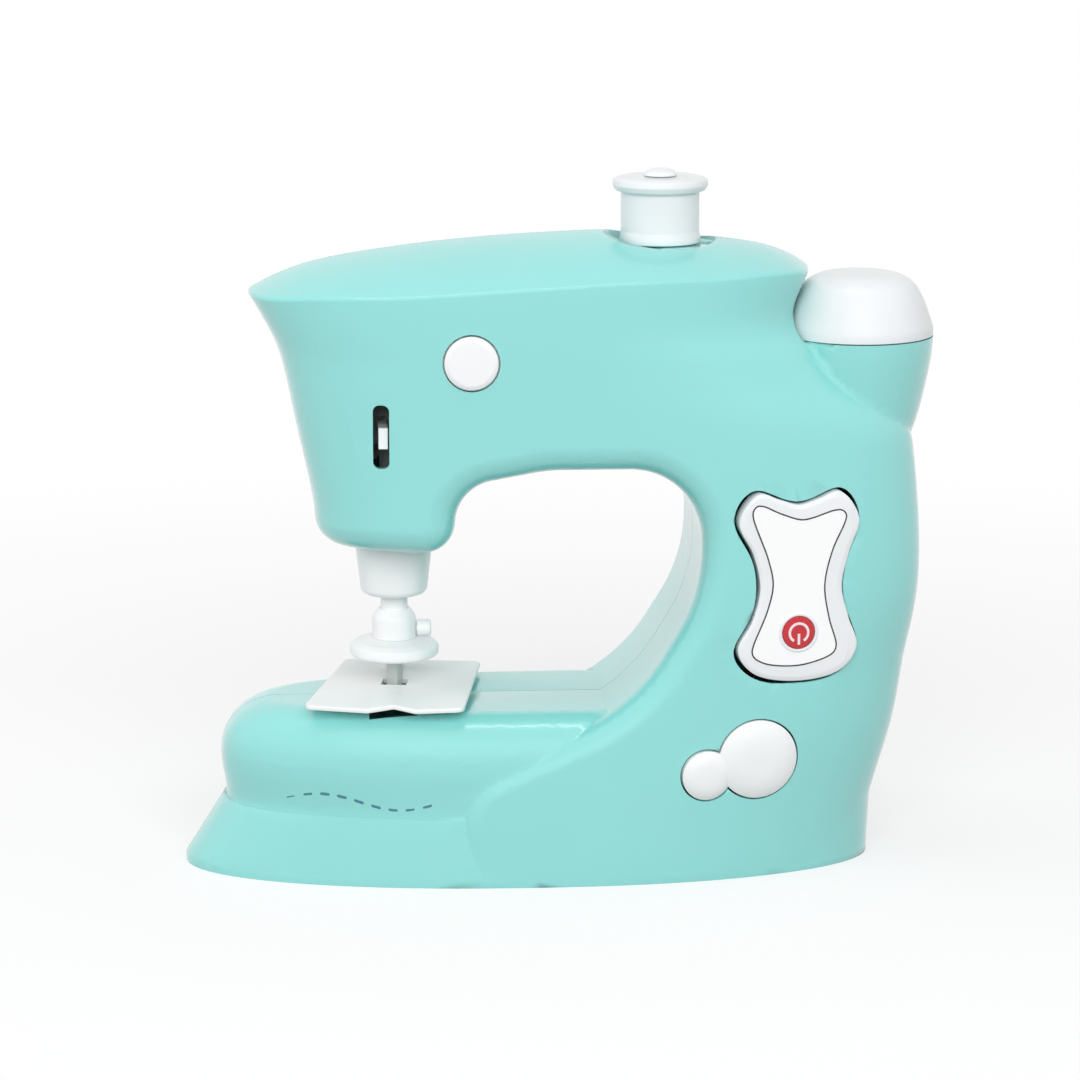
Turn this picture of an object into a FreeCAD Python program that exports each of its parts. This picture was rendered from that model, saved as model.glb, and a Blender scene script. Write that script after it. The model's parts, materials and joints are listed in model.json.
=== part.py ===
import FreeCAD, Part
import math
import os
import Sketcher

V = FreeCAD.Vector
doc = FreeCAD.newDocument("toy_sewing_machine")
sheet = doc.addObject("Spreadsheet::Sheet", "sizes")

# Driving dimensions in millimetres. X runs along the machine, Y from front to back, Z up.
SIZES = {
    # moulded body
    "foot_left": 125.9, "foot_right": 106.2, "foot_lip": 2.4, "foot_rise": 22.7, "waist_left": 113.6,
    "base_half_depth": 43.0, "crown_half_depth": 36.9, "base_top": 56.5, "base_round": 13.0,
    "base_end_round": 20.0, "base_round_height": 18.0,
    "base_step": 1.8, "column_right": 122.2, "column_waist": 103.0, "head_left": 82.0, "nose_left": 103.5,
    "nose_height": 195.0, "crown_height": 213.4, "crown_peak_x": 20.0, "crown_sag": 0.0105,
    "head_bottom": 110.5, "head_right": 36.2, "throat_right": 45.9, "throat_top": 138.3,
    "swoosh_left": 36.0, "edge_round": 9.0, "crown_round": 1.6, "wall": 2.2, "seam": 0.4,
    # running and seating clearances
    "run_fit": 0.06, "slide_fit": 0.08, "loose": 0.4, "face_gap": 0.3,
    # hand wheel
    "wheel_x": 101.0, "wheel_radius": 24.9, "wheel_seat": 177.5, "wheel_height": 21.6, "wheel_wall": 2.2,
    "wheel_hub_radius": 6.0, "wheel_axle_radius": 3.0, "wheel_clip_radius": 5.5, "wheel_clip_thick": 1.5,
    "notch_gap": 1.0,
    # spool
    "spool_x": 34.2, "spool_floor": 208.9, "spool_seat_radius": 18.5, "spool_barrel_radius": 13.0,
    "spool_foot_radius": 14.6, "spool_foot_thick": 2.2, "spool_top_radius": 15.8, "spool_top_thick": 4.6,
    "spool_height": 21.8, "spool_pin_radius": 4.0, "spool_pin_rise": 3.2, "spool_pin_flange": 7.0,
    # needle
    "needle_x": -54.8, "needle_bar_radius": 4.55, "needle_bar_low": 77.0, "needle_bar_high": 180.0,
    "nose_radius": 13.0, "nose_tip_radius": 11.2, "nose_low": 91.2, "nose_neck_radius": 8.0,
    "nose_neck_top": 126.0, "nose_flange_radius": 14.2, "nose_flange_thick": 2.4,
    "clamp_radius": 7.4, "clamp_top": 86.0, "clamp_shoulder": 81.5, "clamp_low": 76.0,
    "clamp_screw_height": 79.0, "clamp_screw_reach": 12.4, "clamp_screw_radius": 2.8,
    "collar_radius": 15.0, "collar_thick": 6.2, "collar_round": 2.4, "needle_width": 5.6, "needle_low": 57.8,
    "needle_slot_width": 16.0, "needle_slot_front": 28.5, "needle_slot_back": 10.0,
    # presser foot
    "presser_y": 21.0, "presser_bar_radius": 2.5, "presser_bar_top": 129.0, "presser_guide_radius": 5.5,
    "presser_guide_top": 124.0, "presser_ring_radius": 4.5, "presser_ring_thick": 2.0, "foot_low": 58.7,
    "foot_thick": 1.6, "foot_width": 53.0, "foot_depth": 66.0, "foot_centre_y": -1.5, "foot_turn": 7.5,
    "foot_hole": 8.6, "foot_taper": 6.0, "foot_corner": 2.5, "foot_boss_radius": 4.0,
    "foot_boss_height": 4.0, "foot_ridge_width": 16.0, "foot_ridge_rise": 1.6,
    # drive
    "crank_height": 150.0, "crank_throw": 4.8, "crank_pin_radius": 2.0, "crank_axle_radius": 2.5,
    "gear_front": 13.0, "gear_width": 4.0, "frame_front": 19.0, "frame_thick": 2.5, "frame_left": -70.0,
    "frame_right": -4.0, "frame_low": 133.0, "frame_step": -36.0, "frame_high": 184.0, "guide_low": 170.0,
    "guide_high": 176.0, "guide_half": 7.6, "coarse_module": 0.8, "fine_module": 0.6,
    "crank_teeth": 40, "pinion_teeth": 14, "wheel_teeth": 48, "backlash": 0.2, "idler_angle": 33.0,
    "motor_angle": 20.0, "idler_shaft_radius": 2.0,
    "motor_width": 20.1, "motor_thick": 15.4, "motor_length": 25.1, "motor_tail": 1.6,
    "motor_boss_radius": 3.0, "motor_shaft_radius": 1.0,
    "yoke_half": 15.0, "yoke_height": 10.0, "yoke_back": 9.5,
    "yoke_collar_radius": 7.5, "yoke_collar_height": 14.0, "tab_width": 3.0, "tab_height": 6.9,
    "tab_x": -58.7, "tab_recess": 1.6,
    "slot_x": -59.4, "slot_height": 150.2, "slot_width": 5.3, "slot_length": 21.2,
    # buttons and panel
    "button_travel": 1.5, "head_button_x": -30.1, "head_button_height": 175.0, "head_button_radius": 8.8,
    "head_button_gap": 0.6, "head_button_proud": 1.6, "head_button_round": 1.2,
    "bubble_x": 64.5, "bubble_height": 41.2, "bubble_radius": 13.4, "bubble_side_x": -17.4,
    "bubble_side_height": -4.6, "bubble_side_radius": 8.4, "bubble_gap": 0.6, "bubble_sink": 0.5,
    "bubble_rise": 2.8, "bubble_side_rise": 2.2, "bubble_skirt": 0.8,
    "panel_x": 77.3, "panel_height": 99.3, "panel_half": 20.3, "panel_waist_left": 13.0,
    "panel_waist_right": 14.8, "panel_top": 31.7, "panel_dip": 27.8, "panel_low": 31.7,
    "panel_proud": 1.6, "panel_sink": 1.3, "panel_gap": 1.0, "panel_shift": 0.4,
    "panel_round": 1.0, "panel_flange": 2.2,
    "flange_reach": 1.5, "flange_thick": 1.2, "power_drop": 15.0, "power_radius": 6.0, "power_ring": 8.0,
    "power_ring_proud": 0.5, "power_proud": 0.9, "power_round": 0.6,
    "stem_radius": 2.0, "stem_length": 2.5,
    "switch_size": 6.0, "switch_thick": 3.5, "plunger_radius": 1.7, "plunger_length": 1.0,
    "chip_width": 9.0, "chip_length": 12.0, "chip_thick": 2.0, "chip_height": 8.0,
    "board_thick": 1.6, "board_width": 32.0, "board_length": 54.0, "small_board": 15.0, "post_radius": 2.2,
    "lead_radius": 1.2, "lead_bend": 4.0,
    # base and batteries
    "cover_thick": 2.2, "box_left": -84.0, "box_slack": 0.2, "box_wall": 1.6,
    "cell_radius": 7.25, "cell_length": 49.5, "nub_radius": 2.7, "nub_length": 1.0, "cell_pitch": 15.6,
    "contact_thick": 0.5, "contact_size": 8.0, "door_margin": 1.0, "door_gap": 0.3,
    # fasteners
    "boss_radius": 5.2, "screw_radius": 1.4, "screw_head_radius": 2.8, "screw_head_thick": 2.0,
    "cover_head_thick": 1.1, "cover_head_seat": 1.2, "screw_seat": 13.0, "screw_length": 22.0,
    "short_screw": 9.0, "cover_post_radius": 4.8,
}


def text_of(quantity):
    return quantity.text if isinstance(quantity, Size) else repr(float(quantity))


class Size:
    """A number from the sheet together with the expression that gives it."""

    def __init__(self, value, text):
        self.value = value
        self.text = text

    def __float__(self):
        return self.value

    def mixed(self, other, sign, value):
        return Size(value, "(%s %s %s)" % (self.text, sign, text_of(other)))

    def __add__(self, other):
        return self.mixed(other, "+", self.value + float(other))

    def __sub__(self, other):
        return self.mixed(other, "-", self.value - float(other))

    def __mul__(self, other):
        return self.mixed(other, "*", self.value * float(other))

    def __truediv__(self, other):
        return self.mixed(other, "/", self.value / float(other))

    def __neg__(self):
        return Size(-self.value, "(0 - %s)" % self.text)

    __radd__ = __add__
    __rmul__ = __mul__


class Sizes:
    """Sheet cells by their alias."""


def fill_sheet():
    sizes = Sizes()
    for row, (alias, value) in enumerate(SIZES.items(), start=1):
        cell = "B%d" % row
        sheet.set("A%d" % row, alias)
        sheet.set(cell, str(value))
        sheet.setAlias(cell, alias)
    doc.recompute()
    for alias in SIZES:
        setattr(sizes, alias, Size(float(sheet.get(alias)), "sizes." + alias))
    return sizes


S = fill_sheet()
NODES = []
AXES = {
    "X": FreeCAD.Rotation(V(0, 1, 0), 90),
    "Y": FreeCAD.Rotation(V(1, 0, 0), -90),
    "Z": FreeCAD.Rotation(),
}


def f(quantity):
    return float(quantity)


def bind(item, name, quantity):
    setattr(item, name, f(quantity))
    if isinstance(quantity, Size):
        item.setExpression(name, quantity.text)


def place(item, x, y, z, axis="Z"):
    item.Placement = FreeCAD.Placement(V(f(x), f(y), f(z)), AXES[axis])
    for letter, quantity in zip("xyz", (x, y, z)):
        if isinstance(quantity, Size):
            item.setExpression("Placement.Base." + letter, quantity.text)
    return item


def cylinder(name, radius, height, x, y, z, axis="Z"):
    item = doc.addObject("Part::Cylinder", name)
    bind(item, "Radius", radius)
    bind(item, "Height", height)
    return place(item, x, y, z, axis)


def box(name, length, width, height, x, y, z):
    item = doc.addObject("Part::Box", name)
    bind(item, "Length", length)
    bind(item, "Width", width)
    bind(item, "Height", height)
    return place(item, x, y, z)


def fuse(name, items):
    item = doc.addObject("Part::MultiFuse", name)
    item.Shapes = items
    item.Refine = True
    return item


def cut(name, base, tools):
    item = doc.addObject("Part::Cut", name)
    item.Base = base
    item.Tool = tools[0] if len(tools) == 1 else fuse(name + "_tools", tools)
    item.Refine = True
    return item


def shaped(name, shape, placement=None):
    item = doc.addObject("Part::Feature", name)
    item.Shape = shape
    if placement is not None:
        item.Placement = placement
    return item


def node(item, label):
    item.Label = label
    NODES.append(item)
    return item


def plane_of(body, role):
    return [feature for feature in body.Origin.OriginFeatures if feature.Role == role][0]


def turned(label, profile, x, y, z=0.0):
    """Body of revolution about an upright axis: profile is a closed run of (radius, height)."""
    body = doc.addObject("PartDesign::Body", label)
    sketch = body.newObject("Sketcher::SketchObject", label + "_profile")
    sketch.AttachmentSupport = [(plane_of(body, "XZ_Plane"), "")]
    sketch.MapMode = "FlatFace"
    count = len(profile)
    corners = [V(f(radius), f(height), 0) for radius, height in profile]
    for i in range(count):
        sketch.addGeometry(Part.LineSegment(corners[i], corners[(i + 1) % count]), False)
    for i in range(count):
        sketch.addConstraint(Sketcher.Constraint("Coincident", i, 2, (i + 1) % count, 1))
    for i, (radius, height) in enumerate(profile):
        for kind, quantity in (("DistanceX", radius), ("DistanceY", height)):
            index = sketch.addConstraint(Sketcher.Constraint(kind, -1, 1, i, 1, f(quantity)))
            if isinstance(quantity, Size):
                sketch.setExpression("Constraints[%d]" % index, quantity.text)
    spin = body.newObject("PartDesign::Revolution", label + "_turn")
    spin.Profile = sketch
    spin.ReferenceAxis = (sketch, ["V_Axis"])
    spin.Angle = 360.0
    body.Tip = spin
    place(body, x, y, z)
    return body


def round_edges(body, radius, circles):
    """Rounds the circular edges of a turned body that lie at the given radius and height."""
    doc.recompute()
    base = body.Tip
    names = []
    for i, edge in enumerate(base.Shape.Edges, start=1):
        if edge.Curve.TypeId != "Part::GeomCircle":
            continue
        for ring, height in circles:
            if abs(edge.Curve.Radius - f(ring)) < 1e-4 and abs(edge.Curve.Center.z - f(height)) < 1e-4:
                names.append("Edge%d" % i)
    soft = body.newObject("PartDesign::Fillet", body.Name + "_round")
    soft.Base = (base, sorted(set(names)))
    bind(soft, "Radius", radius)
    body.Tip = soft
    return body


# Outlines of the moulded body

def along(points, t):
    """Smooth curve through a few (place, value) points."""
    last = len(points) - 1
    if t <= points[0][0]:
        return points[0][1]
    if t >= points[last][0]:
        return points[last][1]
    slopes = []
    for i in range(last + 1):
        before, after = points[max(i - 1, 0)], points[min(i + 1, last)]
        slopes.append((after[1] - before[1]) / (after[0] - before[0]))
    for i in range(last):
        (start, first), (end, second) = points[i], points[i + 1]
        if start <= t <= end:
            span = end - start
            k = (t - start) / span
            return ((2 * k ** 3 - 3 * k ** 2 + 1) * first + (k ** 3 - 2 * k ** 2 + k) * span * slopes[i]
                    + (3 * k ** 2 - 2 * k ** 3) * second + (k ** 3 - k ** 2) * span * slopes[i + 1])


def left_edge(z):
    waist, head, nose = f(S.waist_left), f(S.head_left), f(S.nose_left)
    low, bottom, tip = f(S.base_top), f(S.head_bottom), f(S.nose_height)
    return along([(0, -waist), (low / 2, -waist), (low, -waist + 3),
                  ((low + bottom) / 2, -(waist + head) / 2), (bottom, -head + 3),
                  (bottom + 16, -head), (tip - 45, -head - 5), (tip - 20, -head - 10.5),
                  (tip - 8, -nose + 5.2), (tip, -nose + 0.5), (tip + 20, -nose - 11)], z)


def right_edge(z):
    column, foot, waist = f(S.column_right), f(S.foot_right) - 2.2, f(S.column_waist)
    seat, end = f(S.wheel_seat), f(S.wheel_x) - 21.5
    return along([(0, foot), (8, foot + 0.3), (44, column - 9), (waist - 34, column - 4), (waist, column),
                  (seat - 50, column - 1.2), (seat - 37, column - 2.5), (seat - 27.5, column - 5.5),
                  (seat - 17.5, end + 25.5), (seat - 7.5, end + 13.5), (seat, end + 4), (seat + 6, end + 0.5),
                  (seat + 14, end + 0.3), (seat + 23.5, end + 4.5), (seat + 38, end + 9)], z)


def half_depth(z):
    low, high = f(S.base_half_depth), f(S.crown_half_depth)
    return low + (high - low) * z / (f(S.nose_height) + 2)


FOOT_POWER = 2.15


def squareness(z):
    """Power of the oval that the body has in plan at one height."""
    tip = f(S.nose_height)
    return along([(0, FOOT_POWER), (tip / 2, 2.9), (tip - 45, 2.8), (tip, 2.6), (tip + 20, 2.6)], z)


def oval(z, left, right, depth, power, count=28):
    """Superellipse at height z as one closed curve."""
    mid, half = (left + right) / 2, (right - left) / 2
    points = []
    for i in range(count):
        angle = 2 * math.pi * i / count
        across, deep = math.cos(angle), math.sin(angle)
        x = mid + half * math.copysign(abs(across) ** (2 / power), across)
        y = depth * math.copysign(abs(deep) ** (2 / power), deep)
        points.append(V(x, y, z))
    curve = Part.BSplineCurve()
    curve.interpolate(points, PeriodicFlag=True)
    return Part.Wire([curve.toShape()])


def front_depth(x, z):
    """How far the front face of the upright stands before the parting plane."""
    left, right, power = left_edge(z), right_edge(z), squareness(z)
    reach = abs(x - (left + right) / 2) * 2 / (right - left)
    return half_depth(z) * (1 - reach ** power) ** (1 / power)


def seat_on_front(x, z, sink=0.0):
    """Place on the front face with its own Y pointing into the machine, sunk by a given depth."""
    x, z = f(x), f(z)
    inward = V(front_depth(x + 1, z) - front_depth(x - 1, z), 2,
               front_depth(x, z + 1) - front_depth(x, z - 1))
    inward.normalize()
    turn = FreeCAD.Rotation(V(1, 0, 0), inward, V(0, 0, 1), "YZX")
    return FreeCAD.Placement(V(x, -front_depth(x, z), z) + inward * f(sink), turn)


def wall_behind(seat, outline):
    """Depth, in a seat's own frame, at which all of the wall round an outline has been passed."""
    deepest = 0.0
    for point in outline.discretize(40):
        there = seat.multVec(point)
        surface = V(there.x, -front_depth(there.x, there.z) + f(S.wall), there.z)
        deepest = max(deepest, seat.inverse().multVec(surface).y)
    return deepest + f(S.face_gap)


def rounded(corners, y=0.0):
    """Closed outline in an upright plane: each corner is (x, z, radius)."""
    count = len(corners)
    arcs, ends = [], []
    for i in range(count):
        x, z, radius = corners[i]
        point = V(x, y, z)
        before = V(corners[i - 1][0], y, corners[i - 1][1])
        after = V(corners[(i + 1) % count][0], y, corners[(i + 1) % count][1])
        if not radius:
            arcs.append(None)
            ends.append((point, point))
            continue
        back, onward = (before - point).normalize(), (after - point).normalize()
        half = math.acos(back.dot(onward)) / 2
        reach = radius / math.tan(half)
        start, end = point + back * reach, point + onward * reach
        middle = point + (back + onward).normalize() * (radius / math.sin(half) - radius)
        arcs.append(Part.Arc(start, middle, end).toShape())
        ends.append((start, end))
    edges = []
    for i in range(count):
        if arcs[i]:
            edges.append(arcs[i])
        start, end = ends[i][1], ends[(i + 1) % count][0]
        if start.distanceToPoint(end) > 1e-6:
            edges.append(Part.makeLine(start, end))
    return Part.Wire(edges)


def prism(wire, y_from, y_to, grow=0.0):
    face = Part.Face(wire)
    if grow:
        face = face.makeOffset2D(grow)
    face.translate(V(0, y_from, 0))
    return face.extrude(V(0, y_to - y_from, 0))


REACH = 70.0
BELOW = -6.0


def throat(inset):
    """Everything under the arm and left of the column, as a cutter from front to back."""
    right, top, low = f(S.throat_right), f(S.throat_top), f(S.base_top)
    head, bottom, tail = -f(S.head_right), f(S.head_bottom), -f(S.swoosh_left)
    far = -f(S.foot_left) - 40
    corner = f(S.edge_round) + 1.5
    outline = [(far, BELOW, 0), (tail, BELOW, 0), (tail, low - 23.5, 22), (right - 22.5, low + 3, 60),
               (right, low + 39.8, 55), (right, top, 24), (head + 31, top, 60), (head + 2.2, top - 5.5, 15),
               (head, bottom, corner), (far, bottom, 0)]
    return prism(rounded(outline), -REACH, REACH, inset)


def rim_edges(shape, top):
    """Edges where a cutter left the moulded face, without the seams and the flat ends."""
    edges = []
    for edge in shape.Edges:
        bounds = edge.BoundBox
        if bounds.ZMax > top or bounds.ZMax < 1 or edge.Curve.TypeId == "Part::GeomLine":
            continue
        if bounds.YMax - bounds.YMin < 0.02:
            continue
        if bounds.XMax - bounds.XMin < 0.02 and bounds.YMin < 0 < bounds.YMax:
            continue
        edges.append(edge)
    return edges


def slab(y_from, y_to, low=0.0):
    reach = f(S.foot_left) + 60
    return Part.makeBox(2 * reach, y_to - y_from, 400, V(-reach, y_from, low))


def front_half(shape):
    return shape.common(slab(-REACH, 0, BELOW - 10))


def foot_level(inset):
    """The outer form stands on the ground and the hollow runs out below it."""
    return BELOW if inset else 0.0


def upright(inset):
    """Column, arm and head, with the throat cut out and its rim rounded."""
    seat, tip, top = f(S.wheel_seat), f(S.nose_height), f(S.nose_height) + 20
    levels = [foot_level(inset), 15, 35, 56, 80, f(S.column_waist), seat - 50, seat - 37, seat - 27,
              seat - 17, seat - 7, seat + 3, seat + 13, tip + 6, top]
    wires = [oval(z, left_edge(z) + inset, right_edge(z) - inset, half_depth(z) - inset, squareness(z))
             for z in levels]
    block = Part.makeLoft(wires, True, False).cut(throat(inset))
    return front_half(block.makeFillet(f(S.edge_round) - inset, rim_edges(block, top - 1)))


def crown(inset):
    """All that lies under the curved top of the arm."""
    peak, height = f(S.crown_peak_x), f(S.crown_height) - inset
    nose, tip = -f(S.nose_left), f(S.nose_height) - inset
    end = f(S.wheel_x) - 17
    ridge = [(nose - 30, tip - 20), (nose, tip - 1), (nose + 18.5, tip + 7.6),
             ((nose + peak) / 2, height - 3.5), (peak, height), (peak + 32, height - 2.6),
             (end - 10, height - 6.9), (end, height - 12.8), (end + 40, height - 42)]
    wires = []
    for x in (nose - 20, nose, nose + 9, nose + 18.5, nose + 40, (nose + peak) / 2, peak - 20, peak,
              peak + 18, peak + 32, end - 10, end, end + 20, end + 45):
        z = along(ridge, x)
        side = f(S.base_half_depth) + 8
        drop = f(S.crown_sag) * side ** 2
        arch = Part.Arc(V(x, -side, z - drop), V(x, -side / 2, z - drop / 4), V(x, 0, z)).toShape()
        ends = [V(x, 0, z), V(x, 0, BELOW), V(x, -side, BELOW), V(x, -side, z - drop)]
        wires.append(Part.Wire([arch] + [Part.makeLine(ends[i], ends[i + 1]) for i in range(3)]))
    return Part.makeLoft(wires, True, False)


def soft_crown(arm):
    """Arm whose sharp edge between the top and the front is rounded."""
    low = f(S.nose_height) - 12
    edges = [edge for edge in arm.Edges if edge.BoundBox.ZMin > low and edge.BoundBox.YMin < -1
             and edge.BoundBox.XLength > 5]
    return arm.makeFillet(f(S.crown_round), edges)


def wheel_dome(grow, low, turn=180):
    """Dome of the hand wheel about its upright axis, from height low."""
    radius, seat, rise = f(S.wheel_radius) + grow, f(S.wheel_seat), f(S.wheel_height) + grow
    curve = Part.BSplineCurve()
    curve.interpolate([V(radius, 0, seat + 2), V(radius - 1.5, 0, seat + 0.31 * rise),
                       V(radius - 4.1, 0, seat + 0.62 * rise), V(radius - 6.9, 0, seat + 0.82 * rise),
                       V(0.56 * radius, 0, seat + 0.93 * rise), V(0.3 * radius, 0, seat + 0.985 * rise),
                       V(0, 0, seat + rise)], InitialTangent=V(0, 0, 1), FinalTangent=V(-1, 0, 0))
    top, foot, edge = V(0, 0, seat + rise), V(0, 0, low), V(radius, 0, low)
    wire = Part.Wire([curve.toShape(), Part.makeLine(top, foot), Part.makeLine(foot, edge),
                      Part.makeLine(edge, V(radius, 0, seat + 2))])
    dome = Part.Face(wire).revolve(V(0, 0, 0), V(0, 0, 1), -turn)
    dome.translate(V(f(S.wheel_x), 0, 0))
    return dome


def cup(inset):
    """Bowl under the hand wheel, growing out of the column."""
    radius, seat = f(S.wheel_radius) - inset, f(S.wheel_seat)
    curve = Part.BSplineCurve()
    curve.interpolate([V(8, 0, seat - 48), V(radius - 7.3, 0, seat - 34), V(radius - 4.4, 0, seat - 25.5),
                       V(radius - 2.2, 0, seat - 16), V(radius - 0.4, 0, seat - 6),
                       V(radius, 0, seat - inset)])
    low, top = V(0, 0, seat - 48), V(0, 0, seat - inset)
    wire = Part.Wire([curve.toShape(), Part.makeLine(V(radius, 0, seat - inset), top),
                      Part.makeLine(top, low), Part.makeLine(low, V(8, 0, seat - 48))])
    bowl = Part.Face(wire).revolve(V(0, 0, 0), V(0, 0, 1), -180)
    bowl.translate(V(f(S.wheel_x), 0, 0))
    return bowl


def base(inset):
    """Low bed of the machine with its rounded top and the flared foot round it."""
    top, step = f(S.base_top) - inset, f(S.base_step) + inset
    left, end, side = -f(S.waist_left) + inset, f(S.base_end_round) - inset, f(S.base_round) - inset
    wires = [oval(z, left, right_edge(z) - inset - 6, half_depth(z) - step, squareness(z))
             for z in (foot_level(inset), 12)]
    for turn in (0, 22, 42, 58, 71, 81, 90):
        angle = math.radians(turn)
        draw = 1 - math.cos(angle)
        z = top - f(S.base_round_height) * (1 - math.sin(angle))
        wires.append(oval(z, left + end * draw, right_edge(z) - inset - 6 - side * draw,
                          half_depth(z) - step - side * draw, squareness(z)))
    bed = Part.makeLoft(wires, True, False)
    lip, rise = f(S.foot_lip), f(S.foot_rise)
    left, right, depth = inset - f(S.foot_left), f(S.foot_right) - inset, f(S.base_half_depth) - inset
    ring = [oval(z, left, right, depth, FOOT_POWER) for z in (foot_level(inset), lip)]
    ring.append(oval(rise, -f(S.waist_left) + inset + 0.5, right_edge(rise) - inset - 0.5,
                     half_depth(rise) - step - 0.5, squareness(rise)))
    return front_half(bed).fuse(front_half(Part.makeLoft(ring, True, True)))


def moulding(inset):
    """Body of the machine, drawn in by inset from its outer face."""
    arm = upright(inset).common(crown(inset))
    if not inset:
        arm = soft_crown(arm)
    arm = arm.cut(wheel_dome(f(S.notch_gap) + inset, f(S.wheel_seat) - inset))
    return arm.fuse([base(inset), cup(inset)])


# Screw posts and pockets of the two shells

SHELL_SCREWS = [
    (-f(S.nose_left) + 20.5, f(S.nose_height) - 9), (2.0, f(S.throat_top) + 12.5),
    (f(S.wheel_x) - 45, f(S.wheel_seat) + 14.5), (f(S.column_right) - 11, f(S.column_waist) + 17),
    (f(S.foot_right) - 11, f(S.foot_rise)), (-f(S.waist_left) + 12.6, f(S.base_top) - 18.5)]
FRAME_SCREWS = [(f(S.frame_left) + 5, f(S.frame_high) - 4.5), (f(S.frame_left) + 7, f(S.frame_low) + 5.5),
                (f(S.frame_right) - 6, f(S.throat_top) + 9.5)]
COVER_SCREWS = [f(S.box_left) + 16, f(S.foot_right) - 48]


def rod(radius, start, length, direction):
    return Part.makeCylinder(f(radius), f(length), start, direction)


def along_y(radius, x, z, y_from, y_to):
    return rod(radius, V(x, f(y_from), z), f(y_to) - f(y_from), V(0, 1, 0))


def cover_post_y(x):
    """Middle of a cover post that grows out of the wall of the foot."""
    left, right = -f(S.foot_left), f(S.foot_right)
    reach = abs(x - (left + right) / 2) * 2 / (right - left)
    depth = f(S.base_half_depth) * (1 - reach ** FOOT_POWER) ** (1 / FOOT_POWER)
    return depth - f(S.wall) - f(S.cover_post_radius) + 0.9


def cover_posts():
    low, tall = f(S.cover_thick), f(S.short_screw) + 3
    return [rod(S.cover_post_radius, V(x, -cover_post_y(x), low), tall, V(0, 0, 1)) for x in COVER_SCREWS]


def spool_seat():
    low = f(S.spool_floor) - 3 * f(S.wall)
    return rod(f(S.spool_seat_radius) + f(S.wall), V(f(S.spool_x), 0, low), 40, V(0, 0, 1))


def shared_cuts():
    """Openings that both shells share along the parting plane."""
    needle, wall = f(S.needle_x), f(S.wall)
    width, front_y, back_y = f(S.needle_slot_width), -f(S.needle_slot_front), f(S.needle_slot_back)
    pocket = rod(S.spool_seat_radius, V(f(S.spool_x), 0, f(S.spool_floor)), 30, V(0, 0, 1))
    pin = rod(f(S.spool_pin_radius) + 0.02, V(f(S.spool_x), 0, f(S.spool_floor) - 20), 30, V(0, 0, 1))
    bush = rod(f(S.nose_radius) + f(S.face_gap), V(needle, 0, f(S.head_bottom) - 6), 12, V(0, 0, 1))
    axle = rod(f(S.wheel_axle_radius) + f(S.run_fit), V(f(S.wheel_x), 0, f(S.wheel_seat) - 8), 16, V(0, 0, 1))
    slot = Part.makeBox(width, back_y - front_y, 5 * wall, V(needle - width / 2 - 1.2, front_y,
                                                             f(S.base_top) - 4 * wall))
    return [pocket, pin, bush, axle, slot]


def screw_posts(outer):
    """Posts of one half that meet at the parting plane, trimmed to the moulded form."""
    posts = [along_y(S.boss_radius, x, z, -REACH, 0) for x, z in SHELL_SCREWS]
    seat = spool_seat().common(outer.translated(seam_shift()))
    return posts[0].fuse(posts[1:] + cover_posts()).common(outer).fuse(seat)


def mirrored(shape):
    return shape.mirror(V(0, 0, 0), V(0, 1, 0))


def seam_shift():
    """Each half is drawn back from the parting plane, where only the posts meet."""
    return V(0, -f(S.seam) / 2, 0)


def front_shell(half, outer):
    shell = half.translated(seam_shift()).fuse(screw_posts(outer))
    tools = shared_cuts()
    tip = f(S.screw_seat) - f(S.screw_length) - 1
    for x, z in SHELL_SCREWS:
        tools.append(along_y(f(S.screw_radius) + f(S.run_fit), x, z, tip, 1))
    for x in COVER_SCREWS:
        tools.append(rod(f(S.screw_radius) + f(S.run_fit), V(x, -cover_post_y(x), 0),
                         f(S.cover_thick) + f(S.short_screw) + 0.5, V(0, 0, 1)))
    shell = shell.fuse(switch_posts().common(outer))
    return shell.cut(tools + front_openings())


def rear_shell(half, outer):
    shell = mirrored(half.translated(seam_shift()).fuse(screw_posts(outer)))
    whole = mirrored(outer)
    guide = rod(S.presser_guide_radius, V(f(S.needle_x), f(S.presser_y), f(S.head_bottom) - 5),
                f(S.presser_guide_top) - f(S.head_bottom) + 5, V(0, 0, 1))
    back = f(S.frame_front) + f(S.frame_thick)
    posts = [along_y(f(S.boss_radius) - 1, x, z, back, REACH) for x, z in FRAME_SCREWS]
    shell = shell.fuse(guide.fuse(posts).common(whole))
    tools = shared_cuts()
    bar = f(S.presser_bar_radius) + f(S.slide_fit)
    tools.append(rod(bar, V(f(S.needle_x), f(S.presser_y), 90), 60, V(0, 0, 1)))
    for x, z in SHELL_SCREWS:
        tools.append(along_y(f(S.screw_radius) + f(S.run_fit), x, z, -1, REACH))
        tools.append(along_y(f(S.screw_head_radius) + f(S.loose), x, z, S.screw_seat, REACH))
    for x, z in FRAME_SCREWS:
        tools.append(along_y(f(S.screw_radius) + f(S.run_fit), x, z, back - 1, back + f(S.short_screw) + 0.5))
    for x in COVER_SCREWS:
        tools.append(rod(f(S.screw_radius) + f(S.run_fit), V(x, cover_post_y(x), 0),
                         f(S.cover_thick) + f(S.short_screw) + 0.5, V(0, 0, 1)))
    return shell.cut(tools)


def make_shells():
    outer = moulding(0.0)
    half = outer.cut(moulding(f(S.wall)))
    node(shaped("front_shell", front_shell(half, outer)), "front_shell")
    node(shaped("rear_shell", rear_shell(half, outer)), "rear_shell")


# Buttons, panel and boards on the front face. Local Y points into the machine.

def local_rod(radius, x, z, y_from, y_to):
    return along_y(radius, f(x), f(z), y_from, y_to)


def local_box(width, height, y_from, y_to, x=0.0, z=0.0):
    return Part.makeBox(width, y_to - y_from, height, V(x - width / 2, y_from, z - height / 2))


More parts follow.
